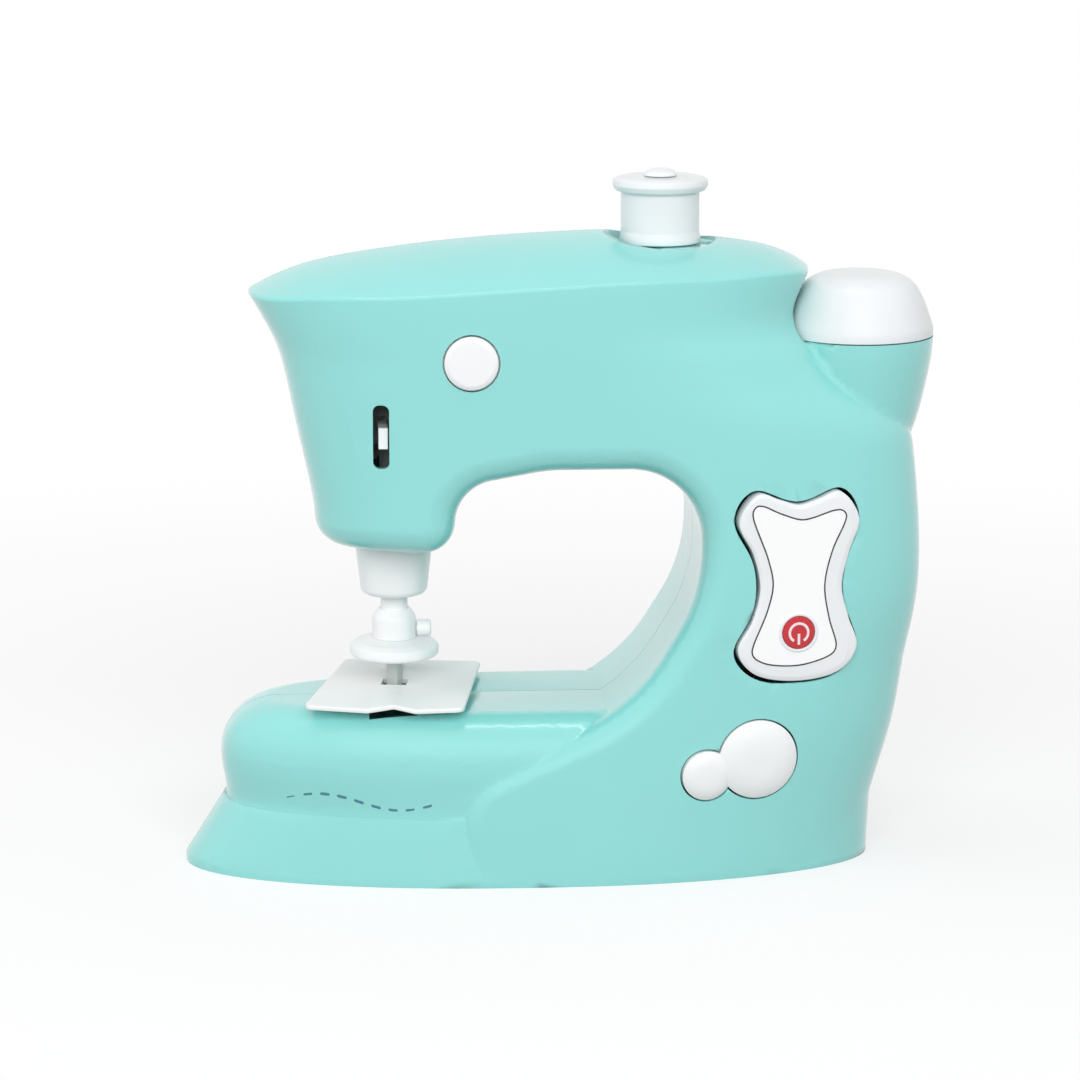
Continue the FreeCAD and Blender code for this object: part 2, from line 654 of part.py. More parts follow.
def bubble_rods(grow, y_from, y_to):
    large = local_rod(f(S.bubble_radius) + grow, 0, 0, y_from, y_to)
    small = local_rod(f(S.bubble_side_radius) + grow, S.bubble_side_x, S.bubble_side_height, y_from, y_to)
    return large.fuse(small)


def panel_outline(grow=0.0):
    """Bone-shaped outline with two ears and a dip at the top."""
    half, top = f(S.panel_half) + grow, f(S.panel_top) + grow
    dip, low = f(S.panel_dip) + grow, -f(S.panel_low) - grow

    def side(waist):
        return [(0, dip), (0.32 * half, dip + 0.45 * (top - dip)), (0.68 * half, top), (half, top - 9.0),
                (waist + 2.2, 0.35 * top), (waist, 0), (waist + 2.4, 0.33 * low), (half, low + 11),
                (0.74 * half, low + 3.2), (0, low)]

    right = side(f(S.panel_waist_right) + grow)
    left = [(-x, z) for x, z in reversed(side(f(S.panel_waist_left) + grow)[1:-1])]
    curve = Part.BSplineCurve()
    curve.interpolate([V(x, 0, z) for x, z in right + left], PeriodicFlag=True)
    return Part.Wire([curve.toShape()])


def panel_plate(grow, y_from, y_to):
    return prism(panel_outline(grow), y_from, y_to)


def panel_seat():
    return seat_on_front(S.panel_x, S.panel_height, S.panel_sink)


def head_button_seat():
    return seat_on_front(S.head_button_x, S.head_button_height)


def bubble_seat():
    return seat_on_front(S.bubble_x, S.bubble_height, S.bubble_sink)


def at(shape, seat):
    moved = shape.copy()
    moved.Placement = seat
    return moved


def front_openings():
    width, length, x, z = f(S.slot_width), f(S.slot_length), f(S.slot_x), f(S.slot_height)
    corners = [(x - width / 2, z - length / 2, 2.2), (x + width / 2, z - length / 2, 2.2),
               (x + width / 2, z + length / 2, 2.2), (x - width / 2, z + length / 2, 2.2)]
    slot = prism(rounded(corners), -REACH, -15)
    head_hole = local_rod(f(S.head_button_radius) + f(S.head_button_gap), 0, 0, -8, 8)
    window = panel_seat().multiply(FreeCAD.Placement(V(-f(S.panel_shift), 0, 0), FreeCAD.Rotation()))
    return [slot, at(head_hole, head_button_seat()), at(bubble_rods(f(S.bubble_gap), -8, 8), bubble_seat()),
            at(panel_plate(f(S.panel_gap), -8, 10), window)]


def ring_outline(radius, x=0.0, z=0.0):
    return Part.Wire([Part.makeCircle(radius, V(x, 0, z), V(0, 1, 0))])


def head_back():
    """Depth of the flange that keeps the head button in."""
    return wall_behind(head_button_seat(), ring_outline(f(S.head_button_radius) + f(S.flange_reach)))


def bubble_back():
    reach = f(S.flange_reach)
    large = ring_outline(f(S.bubble_radius) + reach)
    small = ring_outline(f(S.bubble_side_radius) + reach, f(S.bubble_side_x), f(S.bubble_side_height))
    return max(wall_behind(bubble_seat(), large), wall_behind(bubble_seat(), small))


def panel_back():
    """Depth of the panel's holding flange, behind the wall of the front shell."""
    return wall_behind(panel_seat(), panel_outline(f(S.panel_flange)))


def power_back():
    return panel_back() + f(S.flange_thick) + f(S.face_gap)


def switch_front(back):
    """Front of a switch's plunger, clear of a button's stem at the end of its travel."""
    return back + f(S.flange_thick) + f(S.stem_length) + f(S.button_travel) + f(S.face_gap)


def board_front(back):
    return switch_front(back) + f(S.plunger_length) + f(S.switch_thick)


def button_stem(back, z=0.0):
    return local_rod(S.stem_radius, 0, z, back, back + f(S.flange_thick) + f(S.stem_length))


def post_reach(radius):
    """Distance from a button's axis to the posts beside it, clear of its flange."""
    return f(radius) + f(S.flange_reach) + f(S.loose) + f(S.post_radius)


def switch_posts():
    """Posts on the front shell that carry the two small switch boards."""
    posts = []
    for seat, radius, back in ((head_button_seat(), S.head_button_radius, head_back()),
                               (bubble_seat(), S.bubble_radius, bubble_back())):
        for z in (post_reach(radius), -post_reach(radius)):
            posts.append(at(local_rod(S.post_radius, 0, z, 0, board_front(back)), seat))
    return posts[0].fuse(posts[1:])


def tact_switch(back, z=0.0):
    start, end = switch_front(back), board_front(back)
    body = local_box(f(S.switch_size), f(S.switch_size), start + f(S.plunger_length), end, 0, z)
    return body.fuse(local_rod(S.plunger_radius, 0, z, start, end - 1)).removeSplitter()


def make_switch_board(prefix, seat, radius, back):
    front_y, tall = board_front(back), 2 * (post_reach(radius) + f(S.post_radius))
    plate = local_box(f(S.small_board), tall, front_y, front_y + f(S.board_thick))
    node(shaped(prefix + "_board", plate, seat), prefix + "_board")
    node(shaped(prefix + "_switch", tact_switch(back), seat), prefix + "_switch")


def make_head_button():
    radius, seat, back = f(S.head_button_radius), head_button_seat(), head_back()
    face = -f(S.head_button_proud)
    cap = local_rod(radius, 0, 0, face, back + 0.2)
    rim = [edge for edge in cap.Edges if edge.BoundBox.YMax < face + 0.1]
    cap = cap.makeFillet(f(S.head_button_round), rim)
    flange = local_rod(radius + f(S.flange_reach), 0, 0, back, back + f(S.flange_thick))
    node(shaped("head_button", cap.fuse([flange, button_stem(back)]), seat), "head_button")
    make_switch_board("head", seat, radius, back)


def dome_tip(radius, rise, x, z, back):
    """Ball cap that closes a round button at the front."""
    ball = (radius ** 2 + rise ** 2) / (2 * rise)
    sphere = Part.makeSphere(ball, V(x, ball - rise - f(S.bubble_skirt), z))
    return local_rod(radius, x, z, -6, back).common(sphere)


def make_bubble_button():
    seat, back = bubble_seat(), bubble_back()
    large = dome_tip(f(S.bubble_radius), f(S.bubble_rise), 0, 0, back + 0.2)
    small = dome_tip(f(S.bubble_side_radius), f(S.bubble_side_rise), f(S.bubble_side_x),
                     f(S.bubble_side_height), back + 0.2)
    flange = bubble_rods(f(S.flange_reach), back, back + f(S.flange_thick))
    node(shaped("bubble_button", large.fuse([small, flange, button_stem(back)]), seat), "bubble_button")
    make_switch_board("bubble", seat, S.bubble_radius, back)


def make_panel():
    """Panel with a proud rim, a ring round the power button and posts for the circuit board."""
    proud, back, drop = f(S.panel_proud), panel_back(), -f(S.power_drop)
    plate = panel_plate(0, -proud, back)
    rim = [edge for edge in plate.Edges if edge.BoundBox.YMax < -proud + 0.01]
    plate = plate.makeFillet(f(S.panel_round), rim)
    ring = local_rod(S.power_ring, 0, drop, -proud - f(S.power_ring_proud), 0)
    flange = panel_plate(f(S.panel_flange), back, back + f(S.flange_thick))
    reach = f(S.board_length) / 2 - f(S.post_radius)
    posts = [local_rod(S.post_radius, 0, z, back, board_front(power_back())) for z in (reach, -reach)]
    panel = plate.fuse([ring, flange] + posts)
    hole = local_rod(f(S.power_radius) + f(S.face_gap), 0, drop, -8, back + f(S.flange_thick) + 1)
    node(shaped("control_panel", panel.cut(hole), panel_seat()), "control_panel")


def make_power_button():
    back, drop = power_back(), -f(S.power_drop)
    face = -f(S.panel_proud) - f(S.power_proud)
    cap = local_rod(S.power_radius, 0, drop, face, back + 0.2)
    cap = cap.makeFillet(f(S.power_round), [edge for edge in cap.Edges if edge.BoundBox.YMax < face + 0.1])
    flange = local_rod(f(S.power_radius) + f(S.flange_reach), 0, drop, back, back + f(S.flange_thick))
    node(shaped("power_button", cap.fuse([flange, button_stem(back, drop)]), panel_seat()), "power_button")


def make_circuit_board():
    front_y = board_front(power_back())
    board = local_box(f(S.board_width), f(S.board_length), front_y, front_y + f(S.board_thick))
    node(shaped("circuit_board", board, panel_seat()), "circuit_board")
    switch = tact_switch(power_back(), -f(S.power_drop))
    node(shaped("power_switch", switch, panel_seat()), "power_switch")
    chip_front = front_y - f(S.chip_thick)
    chip = local_box(f(S.chip_width), f(S.chip_length), chip_front, front_y, 0, f(S.chip_height))
    node(shaped("control_chip", chip, panel_seat()), "control_chip")


def tube(points, radius, bend):
    """Round lead along straight runs with tangent bends."""
    edges, start = [], points[0]
    for before, point, after in zip(points, points[1:], points[2:]):
        back, onward = (before - point).normalize(), (after - point).normalize()
        half = math.acos(back.dot(onward)) / 2
        reach = bend / math.tan(half)
        middle = point + (back + onward).normalize() * (bend / math.sin(half) - bend)
        edges.append(Part.makeLine(start, point + back * reach))
        start = point + onward * reach
        edges.append(Part.Arc(point + back * reach, middle, start).toShape())
    edges.append(Part.makeLine(start, points[-1]))
    ring = Part.Wire([Part.makeCircle(radius, points[0], points[1] - points[0])])
    return Part.Wire(edges).makePipeShell([ring], True, False)


def board_end(x, z, away):
    """Point behind the circuit board, in the frame of the machine."""
    back = board_front(power_back()) + f(S.board_thick)
    return panel_seat().multVec(V(x, back + away, z))


def make_leads():
    radius, bend = f(S.lead_radius), f(S.lead_bend)
    end, turn = board_end(-8.0, -20.0, 0.0), board_end(-8.0, -20.0, 3 * bend)
    start = V(f(S.box_left) + box_length(), turn.y, cell_axis())
    path = [start, V(turn.x, turn.y, cell_axis()), turn, end]
    node(shaped("battery_lead", tube(path, radius, bend)), "battery_lead")
    motor = train()[2]
    end, turn = board_end(4.0, 20.0, 0.0), board_end(4.0, 20.0, 1.5 * bend)
    tail = f(S.frame_front) - f(S.motor_length) - f(S.motor_tail)
    path = [V(motor[0], tail, motor[1]), V(motor[0], turn.y, motor[1]), V(turn.x, turn.y, motor[1]),
            turn, end]
    node(shaped("motor_lead", tube(path, radius, 0.75 * bend)), "motor_lead")


# Spool and hand wheel

def make_spool():
    floor = S.spool_floor + S.face_gap
    top = floor + S.spool_height
    bore = S.spool_pin_radius + S.run_fit
    spool = turned("spool", [
        (bore, floor), (S.spool_foot_radius, floor), (S.spool_foot_radius, floor + S.spool_foot_thick),
        (S.spool_barrel_radius, floor + S.spool_foot_thick), (S.spool_barrel_radius, top - S.spool_top_thick),
        (S.spool_top_radius, top - S.spool_top_thick), (S.spool_top_radius, top), (bore, top)], S.spool_x, 0)
    round_edges(spool, 1.6, [(S.spool_top_radius, top), (S.spool_top_radius, top - S.spool_top_thick)])
    node(spool, "spool")
    low = S.spool_floor - S.wall * 3 - 2
    pin = turned("spool_pin", [
        (0, low), (S.spool_pin_flange, low), (S.spool_pin_flange, low + 2), (S.spool_pin_radius, low + 2),
        (S.spool_pin_radius, top + S.spool_pin_rise), (0, top + S.spool_pin_rise)], S.spool_x, 0)
    round_edges(pin, 2.4, [(S.spool_pin_radius, top + S.spool_pin_rise)])
    node(pin, "spool_pin")


def make_hand_wheel():
    seat, wall, hub = f(S.wheel_seat) + f(S.face_gap), f(S.wheel_wall), f(S.wheel_hub_radius)
    dome = wheel_dome(0.0, seat, 360)
    hollow = wheel_dome(-wall, seat - 1, 360)
    post = rod(hub, V(f(S.wheel_x), 0, seat), f(S.wheel_height) - 1, V(0, 0, 1)).common(dome)
    top = f(S.wheel_seat) + f(S.wheel_height) - 2 * wall
    bore = rod(S.wheel_axle_radius, V(f(S.wheel_x), 0, seat - 1), top - seat + 1, V(0, 0, 1))
    node(shaped("hand_wheel", dome.cut(hollow).fuse(post).cut(bore)), "hand_wheel")
    low = S.wheel_seat - S.wall - S.wheel_clip_thick - 3
    node(cylinder("wheel_axle", S.wheel_axle_radius,
                  S.wheel_height - S.wheel_wall * 2 + S.wall + S.wheel_clip_thick + 3, S.wheel_x, 0, low),
         "wheel_axle")
    clip_low = S.wheel_seat - S.wall - S.wheel_clip_thick - S.face_gap
    node(turned("wheel_clip", [
        (S.wheel_axle_radius, clip_low), (S.wheel_clip_radius, clip_low),
        (S.wheel_clip_radius, clip_low + S.wheel_clip_thick),
        (S.wheel_axle_radius, clip_low + S.wheel_clip_thick)], S.wheel_x, 0), "wheel_clip")


# Needle and presser foot

def make_needle_group():
    x, bar = S.needle_x, S.needle_bar_radius
    bore = bar + S.slide_fit
    inside = S.head_bottom + S.wall
    bush = turned("needle_guide_blank", [
        (bore, S.nose_low), (S.nose_tip_radius, S.nose_low), (S.nose_radius, S.head_bottom - 2.5),
        (S.nose_radius, inside), (S.nose_flange_radius, inside),
        (S.nose_flange_radius, inside + S.nose_flange_thick),
        (S.nose_neck_radius, inside + S.nose_flange_thick),
        (S.nose_neck_radius, S.nose_neck_top), (bore, S.nose_neck_top)], x, 0)
    round_edges(bush, 2.2, [(S.nose_tip_radius, S.nose_low)])
    flat = box("needle_guide_flat", S.nose_flange_radius, S.nose_flange_radius * 2, S.nose_flange_thick,
               x + S.nose_neck_radius, -S.nose_flange_radius, inside)
    node(cut("needle_guide_trimmed", bush, [flat]), "needle_guide")
    length = S.needle_bar_high - S.needle_bar_low
    node(cylinder("needle_bar", bar, length, x, 0, S.needle_bar_low), "needle_bar")
    clamp = turned("needle_clamp_blank", [
        (0, S.clamp_low), (S.clamp_radius, S.clamp_low), (S.clamp_radius, S.clamp_shoulder),
        (bar + 1.2, S.clamp_top), (bar, S.clamp_top), (bar, S.needle_bar_low), (0, S.needle_bar_low)], x, 0)
    round_edges(clamp, 1.6, [(S.clamp_radius, S.clamp_shoulder)])
    hole = clamp_screw_cut()
    node(cut("needle_clamp_bored", clamp, [hole]), "needle_clamp")
    node(fuse("clamp_screw", clamp_screw_parts()), "clamp_screw")
    low = S.clamp_low - S.collar_thick
    collar = turned("needle_collar_blank", [
        (0, low), (S.collar_radius, low), (S.collar_radius, S.clamp_low), (0, S.clamp_low)], x, 0)
    round_edges(collar, S.collar_round, [(S.collar_radius, low), (S.collar_radius, S.clamp_low)])
    socket = box("needle_socket", S.needle_width, S.needle_width, S.collar_thick + 2,
                 x - S.needle_width / 2, -S.needle_width / 2, low - 1)
    node(cut("needle_collar", collar, [socket]), "needle_collar")
    node(box("needle", S.needle_width, S.needle_width, S.clamp_low - S.needle_low,
             x - S.needle_width / 2, -S.needle_width / 2, S.needle_low), "needle")


def clamp_screw_cut():
    start, reach = S.needle_x + S.needle_bar_radius, S.clamp_radius + 2
    return cylinder("clamp_screw_hole", S.screw_radius, reach, start, 0, S.clamp_screw_height, "X")


def clamp_screw_parts():
    shank = cylinder("clamp_screw_shank", S.screw_radius, S.clamp_screw_reach - S.needle_bar_radius - 1,
                     S.needle_x + S.needle_bar_radius, 0, S.clamp_screw_height, "X")
    head = cylinder("clamp_screw_head", S.clamp_screw_radius, S.clamp_screw_reach - S.clamp_radius - 0.2,
                    S.needle_x + S.clamp_radius + 0.2, 0, S.clamp_screw_height, "X")
    return [shank, head]


def make_presser():
    x, y = S.needle_x, S.presser_y
    top = S.foot_low + S.foot_thick
    node(cylinder("presser_bar", S.presser_bar_radius, S.presser_bar_top - top, x, y, top), "presser_bar")
    low = S.presser_guide_top + S.face_gap
    node(turned("presser_ring", [
        (S.presser_bar_radius, low), (S.presser_ring_radius, low),
        (S.presser_ring_radius, low + S.presser_ring_thick),
        (S.presser_bar_radius, low + S.presser_ring_thick)], x, y), "presser_ring")
    hang = FreeCAD.Placement(V(f(x), 0, f(S.foot_low)), FreeCAD.Rotation())
    node(shaped("presser_foot", foot_plate(), hang), "presser_foot")


def foot_plate():
    """Thin plate turned a little, with a needle hole, a folded ridge to its front edge and a boss."""
    width, depth, thick, hole = f(S.foot_width), f(S.foot_depth), f(S.foot_thick), f(S.foot_hole)
    ridge, rise = f(S.foot_ridge_width) / 2, f(S.foot_ridge_rise)
    near = f(S.foot_centre_y) - depth / 2
    fold_end, far = -hole / 2 - 4, near + depth

    def section(y, lift):
        left = -width / 2 + f(S.foot_taper) * (y - near) / depth
        line = [(left, 0), (-ridge, 0), (0, lift), (ridge, 0), (width / 2, 0)]
        lower = [V(px, y, pz) for px, pz in line]
        upper = [V(px, y, pz + thick) for px, pz in reversed(line)]
        return Part.makePolygon(lower + upper + [lower[0]])

    plate = Part.makeLoft([section(near, rise), section(fold_end, 0)], True, True)
    plate = plate.fuse(Part.makeLoft([section(fold_end, 0), section(far, 0)], True, True)).removeSplitter()

    def is_corner(edge):
        box = edge.BoundBox
        upright = box.ZLength > 0.9 * thick and box.DiagonalLength < 1.1 * thick
        return upright and abs(edge.CenterOfMass.x) > width / 4

    plate = plate.makeFillet(f(S.foot_corner), [edge for edge in plate.Edges if is_corner(edge)])
    plate.rotate(V(0, 0, 0), V(0, 0, 1), -f(S.foot_turn))
    boss = rod(S.foot_boss_radius, V(0, f(S.presser_y), 0), thick + f(S.foot_boss_height), V(0, 0, 1))
    bore = rod(S.presser_bar_radius, V(0, f(S.presser_y), thick), f(S.foot_boss_height) + 5, V(0, 0, 1))
    return plate.fuse(boss).cut([Part.makeBox(hole, hole, 10, V(-hole / 2, -hole / 2, -2)), bore])


# Drive

def involute(angle):
    return math.tan(angle) - angle


def gear(teeth, module, width, bore, phase):
    """Spur gear about Y with involute flanks, its first tooth at the given angle."""
    pitch, pressure = teeth * module / 2, math.radians(20)
    root, tip, ground = pitch - 1.1 * module, pitch + 0.8 * module, pitch * math.cos(pressure)

    def half_angle(radius):
        lean = math.acos(min(1.0, ground / max(radius, ground)))
        slack = f(S.backlash) / 2 / pitch
        return math.pi / 2 / teeth - slack / 2 + involute(pressure) - involute(lean)

    def point(radius, angle):
        return V(radius * math.cos(angle), 0, radius * math.sin(angle))

    edges = []
    step = 2 * math.pi / teeth
    middle = (max(root, ground) + tip) / 2
    wide, waist, narrow = half_angle(root), half_angle(middle), half_angle(tip)
    for i in range(teeth):
        mid = phase + i * step
        low, high = point(root, mid - wide), point(root, mid + wide)
        edges.append(Part.Arc(low, point(middle, mid - waist), point(tip, mid - narrow)).toShape())
        edges.append(Part.Arc(point(tip, mid - narrow), point(tip, mid), point(tip, mid + narrow)).toShape())
        edges.append(Part.Arc(point(tip, mid + narrow), point(middle, mid + waist), high).toShape())
        following = point(root, mid + step - wide)
        edges.append(Part.Arc(high, point(root, mid + step / 2), following).toShape())
    blank = Part.Face(Part.Wire(edges)).extrude(V(0, f(width), 0))
    return blank.cut(along_y(bore, 0, 0, -1, f(width) + 1))


def train():
    """Places of the idler and the motor in the upright plane, and the angles between the gears."""
    first, second = math.radians(f(S.idler_angle)), math.radians(f(S.motor_angle))
    near = f(S.coarse_module) * (f(S.crank_teeth) + f(S.pinion_teeth)) / 2
    far = f(S.fine_module) * (f(S.wheel_teeth) + f(S.pinion_teeth)) / 2
    crank = (f(S.needle_x), f(S.crank_height))
    idler = (crank[0] + near * math.cos(first), crank[1] + near * math.sin(first))
    motor = (idler[0] + far * math.cos(second), idler[1] + far * math.sin(second))
    return crank, idler, motor, first, second


def make_drive():
    crank, idler, motor, first, second = train()
    pinion, wide = int(f(S.pinion_teeth)), f(S.gear_width)
    front_y, back_y = f(S.gear_front), f(S.frame_front) + f(S.frame_thick) + 1.0
    half_tooth = math.pi + math.pi / pinion

    def put(label, shape, spot, y):
        node(shaped(label, shape, FreeCAD.Placement(V(spot[0], y, spot[1]), FreeCAD.Rotation())), label)

    coarse, fine, idler_bore = f(S.coarse_module), f(S.fine_module), f(S.idler_shaft_radius)
    crank_gear = gear(int(f(S.crank_teeth)), coarse, wide, f(S.crank_axle_radius) + f(S.run_fit), first)
    crank_gear = crank_gear.cut(along_y(S.crank_pin_radius, f(S.crank_throw), 0, -1, wide + 1))
    put("crank_gear", crank_gear, crank, front_y)
    pin_front = f(S.yoke_back) + f(S.loose)
    put("crank_pin", along_y(S.crank_pin_radius, f(S.crank_throw), 0, pin_front, front_y + wide), crank, 0)
    axle_front, axle_back = front_y - 0.6, f(S.frame_front) + f(S.frame_thick)
    axle = along_y(S.crank_axle_radius, 0, 0, axle_front, axle_back)
    shoulder = along_y(f(S.crank_axle_radius) + 0.7, 0, 0, front_y + wide + 0.3, S.frame_front)
    put("crank_axle", axle.fuse(shoulder), crank, 0)
    put("idler_pinion", gear(pinion, coarse, wide, idler_bore, first + half_tooth), idler, front_y)
    put("idler_wheel", gear(int(f(S.wheel_teeth)), fine, wide, idler_bore, second), idler, back_y)
    put("idler_shaft", along_y(S.idler_shaft_radius, 0, 0, front_y - 0.6, back_y + wide + 0.6), idler, 0)
    motor_pinion = gear(pinion, fine, wide, f(S.motor_shaft_radius), second + half_tooth)
    put("motor_pinion", motor_pinion, motor, back_y)
    shaft = along_y(S.motor_shaft_radius, 0, 0, f(S.frame_front) - 4, back_y + wide + 0.6)
    put("motor_shaft", shaft, motor, 0)
    put("motor", motor_can(), motor, 0)


def motor_can():
    """Small can motor: flat-sided round can with a bearing boss and a tail cap."""
    face, long = f(S.frame_front), f(S.motor_length)
    round_can = along_y(f(S.motor_width) / 2, 0, 0, face - long, face)
    flats = local_box(f(S.motor_width) + 2, f(S.motor_thick), face - long, face)
    boss = along_y(S.motor_boss_radius, 0, 0, face - 1, face + 1.6)
    tail = along_y(5.0, 0, 0, face - long - f(S.motor_tail), face - long + 1)
    can = round_can.common(flats).fuse([boss, tail])
    return can.cut(along_y(f(S.motor_shaft_radius) + f(S.run_fit), 0, 0, face - 4, face + 5))


def make_frame():
    crank, idler, motor, first, second = train()
    face, thick = f(S.frame_front), f(S.frame_thick)
    left, right, low, high = f(S.frame_left), f(S.frame_right), f(S.frame_low), f(S.frame_high)
    step, floor = f(S.frame_step), f(S.throat_top) + f(S.wall) + 1.5
    outline = [(left, low, 4), (step, low, 4), (step + 10, floor, 4), (right, floor, 4), (right, high, 4),
               (left, high, 4)]
    plate = prism(rounded(outline), face, face + thick)
    lug_low, lug_high, half = f(S.guide_low), f(S.guide_high), f(S.guide_half)
    needle = f(S.needle_x)
    lug = Part.makeBox(2 * half, face + half, lug_high - lug_low, V(needle - half, -half, lug_low))
    guide = f(S.needle_bar_radius) + f(S.slide_fit)
    bores = [rod(guide, V(needle, 0, lug_low - 1), lug_high - lug_low + 2, V(0, 0, 1)),
             along_y(S.crank_axle_radius, crank[0], crank[1], face - 1, face + thick + 1),
             along_y(f(S.idler_shaft_radius) + f(S.run_fit), idler[0], idler[1], face - 1, face + thick + 1),
             along_y(f(S.motor_boss_radius) + 0.1, motor[0], motor[1], face - 1, face + thick + 1)]
    bores += [along_y(f(S.screw_radius) + 0.1, x, z, face - 1, face + thick + 1) for x, z in FRAME_SCREWS]
    node(shaped("gearbox_frame", plate.fuse(lug).cut(bores)), "gearbox_frame")


def make_yoke():
    """Slotted yoke on the needle bar, with the take-up tab that shows in the slot of the head."""
    x, height, bar = f(S.needle_x), f(S.crank_height), f(S.needle_bar_radius)
    tall, back = f(S.yoke_height), f(S.yoke_back)
    collar = f(S.yoke_collar_height)
    sleeve = rod(S.yoke_collar_radius, V(x, 0, height - collar / 2), collar, V(0, 0, 1))
    bridge = Part.makeBox(2 * f(S.yoke_half), back - bar, tall, V(x - f(S.yoke_half), bar, height - tall / 2))
    wide = f(S.crank_pin_radius) + 0.2
    reach = f(S.crank_throw) + wide + 0.6
    slot = Part.makeBox(2 * reach, 20, 2 * wide, V(x - reach, f(S.yoke_collar_radius) + 0.2, height - wide))
    tip = -front_depth(f(S.tab_x), f(S.slot_height)) + f(S.tab_recess)
    tab = Part.makeBox(f(S.tab_width), -tip, f(S.tab_height),
                       V(f(S.tab_x) - f(S.tab_width) / 2, tip, height - f(S.tab_height) / 2 - 0.6))
    hole = rod(bar, V(x, 0, height - 40), 80, V(0, 0, 1))
    node(shaped("needle_yoke", sleeve.fuse([bridge, tab]).cut([hole, slot])), "needle_yoke")


# Bottom cover and batteries

def cell_places():
    return [(i - 1) * f(S.cell_pitch) for i in range(3)]


def cell_axis():
    return f(S.cover_thick) + f(S.face_gap) + f(S.cell_radius)


def box_length():
    return f(S.cell_length) + f(S.nub_length) + 2 * f(S.contact_thick) + 2 * f(S.box_wall) + f(S.box_slack)


def box_width():
    return 2 * f(S.cell_pitch) + 2 * f(S.cell_radius) + 2 * f(S.loose) + 2 * f(S.box_wall)


def box_top():
    return cell_axis() + f(S.cell_radius) + f(S.loose) + f(S.box_wall)


def make_bottom_cover():
    gap, thick = f(S.face_gap) + f(S.wall), f(S.cover_thick)
    outline = oval(0, -f(S.foot_left) + gap, f(S.foot_right) - gap, f(S.base_half_depth) - gap, FOOT_POWER)
    plate = Part.Face(outline).extrude(V(0, 0, thick))
    margin = f(S.door_margin)
    left, long, wide = f(S.box_left) + margin, box_length() - 2 * margin, box_width() - 2 * margin
    tools = [Part.makeBox(long, wide, thick + 2, V(left, -wide / 2, -1))]
    for x in COVER_SCREWS:
        for side in (-1, 1):
            place_y = side * cover_post_y(x)
            tools.append(rod(f(S.screw_radius) + f(S.run_fit), V(x, place_y, -1), thick + 2, V(0, 0, 1)))
            tools.append(rod(f(S.screw_head_radius) + f(S.loose), V(x, place_y, -1), f(S.cover_head_seat) + 1,
                             V(0, 0, 1)))
    node(shaped("bottom_cover", plate.cut(tools)), "bottom_cover")
    gap = f(S.door_gap)
    door = Part.makeBox(long - 2 * gap, wide - 2 * gap, thick, V(left + gap, -wide / 2 + gap, 0))
    node(shaped("battery_door", door), "battery_door")


def make_batteries():
    wall, top, low = f(S.box_wall), box_top(), f(S.cover_thick)
    left, long, wide = f(S.box_left), box_length(), box_width()
    outer = Part.makeBox(long, wide, top - low, V(left, -wide / 2, low))
    hollow = Part.makeBox(long - 2 * wall, wide - 2 * wall, top - wall - low + 1,
                          V(left + wall, -wide / 2 + wall, low - 1))
    node(shaped("battery_box", outer.cut(hollow)), "battery_box")
    start = left + wall + f(S.contact_thick)
    cells = []
    for y in cell_places():
        can = rod(S.cell_radius, V(start, y, cell_axis()), f(S.cell_length), V(1, 0, 0))
        nub = rod(S.nub_radius, V(start + f(S.cell_length), y, cell_axis()), f(S.nub_length), V(1, 0, 0))
        cells.append(can.fuse(nub))
    node(shaped("battery_cells", Part.makeCompound(cells)), "battery_cells")
    plates = []
    size, thick = f(S.contact_size), f(S.contact_thick)
    far = left + long - wall - thick
    for y in cell_places():
        for x in (left + wall, far):
            plates.append(Part.makeBox(thick, size, size, V(x, y - size / 2, cell_axis() - size / 2)))
    node(shaped("battery_contacts", Part.makeCompound(plates)), "battery_contacts")


# Fasteners

def screw(length, direction, thick=S.screw_head_thick):
    """Round-headed screw with its seat at the origin, pointing along direction."""
    shank = rod(S.screw_radius, V(0, 0, 0), length, direction)
    head = rod(S.screw_head_radius, V(0, 0, 0), thick, -direction)
    return shank.fuse(head)


def make_screws():
    def group(label, blank, places):
        node(shaped(label, Part.makeCompound([blank.translated(spot) for spot in places])), label)

    group("shell_screws", screw(f(S.screw_length), V(0, -1, 0)),
          [V(x, f(S.screw_seat), z) for x, z in SHELL_SCREWS])
    group("frame_screws", screw(f(S.short_screw), V(0, 1, 0)),
          [V(x, f(S.frame_front), z) for x, z in FRAME_SCREWS])
    spots = [V(x, side * cover_post_y(x), f(S.cover_head_seat)) for x in COVER_SCREWS for side in (-1, 1)]
    group("cover_screws", screw(f(S.short_screw), V(0, 0, 1), S.cover_head_thick), spots)


def write_parts():
    doc.recompute()
    os.makedirs("parts", exist_ok=True)
    for item in doc.Objects:
        if "Invalid" in item.State or "Error" in item.State:
            raise RuntimeError("%s is in error" % item.Label)
    for item in NODES:
        if item.Shape.isNull() or not item.Shape.isValid():
            raise RuntimeError("%s has no sound shape" % item.Label)
        item.Shape.exportStep("parts/%s.step" % item.Label)
        print("%s: %d solids, %.1f mm3" % (item.Label, len(item.Shape.Solids), item.Shape.Volume))


make_head_button()
make_bubble_button()
make_panel()
make_power_button()
make_circuit_board()
make_spool()
make_hand_wheel()
make_needle_group()
make_presser()
make_drive()
make_frame()
make_yoke()
make_bottom_cover()
make_batteries()
make_leads()
make_screws()
make_shells()
write_parts()
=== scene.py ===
"""Battery toy sewing machine in mint and white moulded plastic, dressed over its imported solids."""
import json
import math

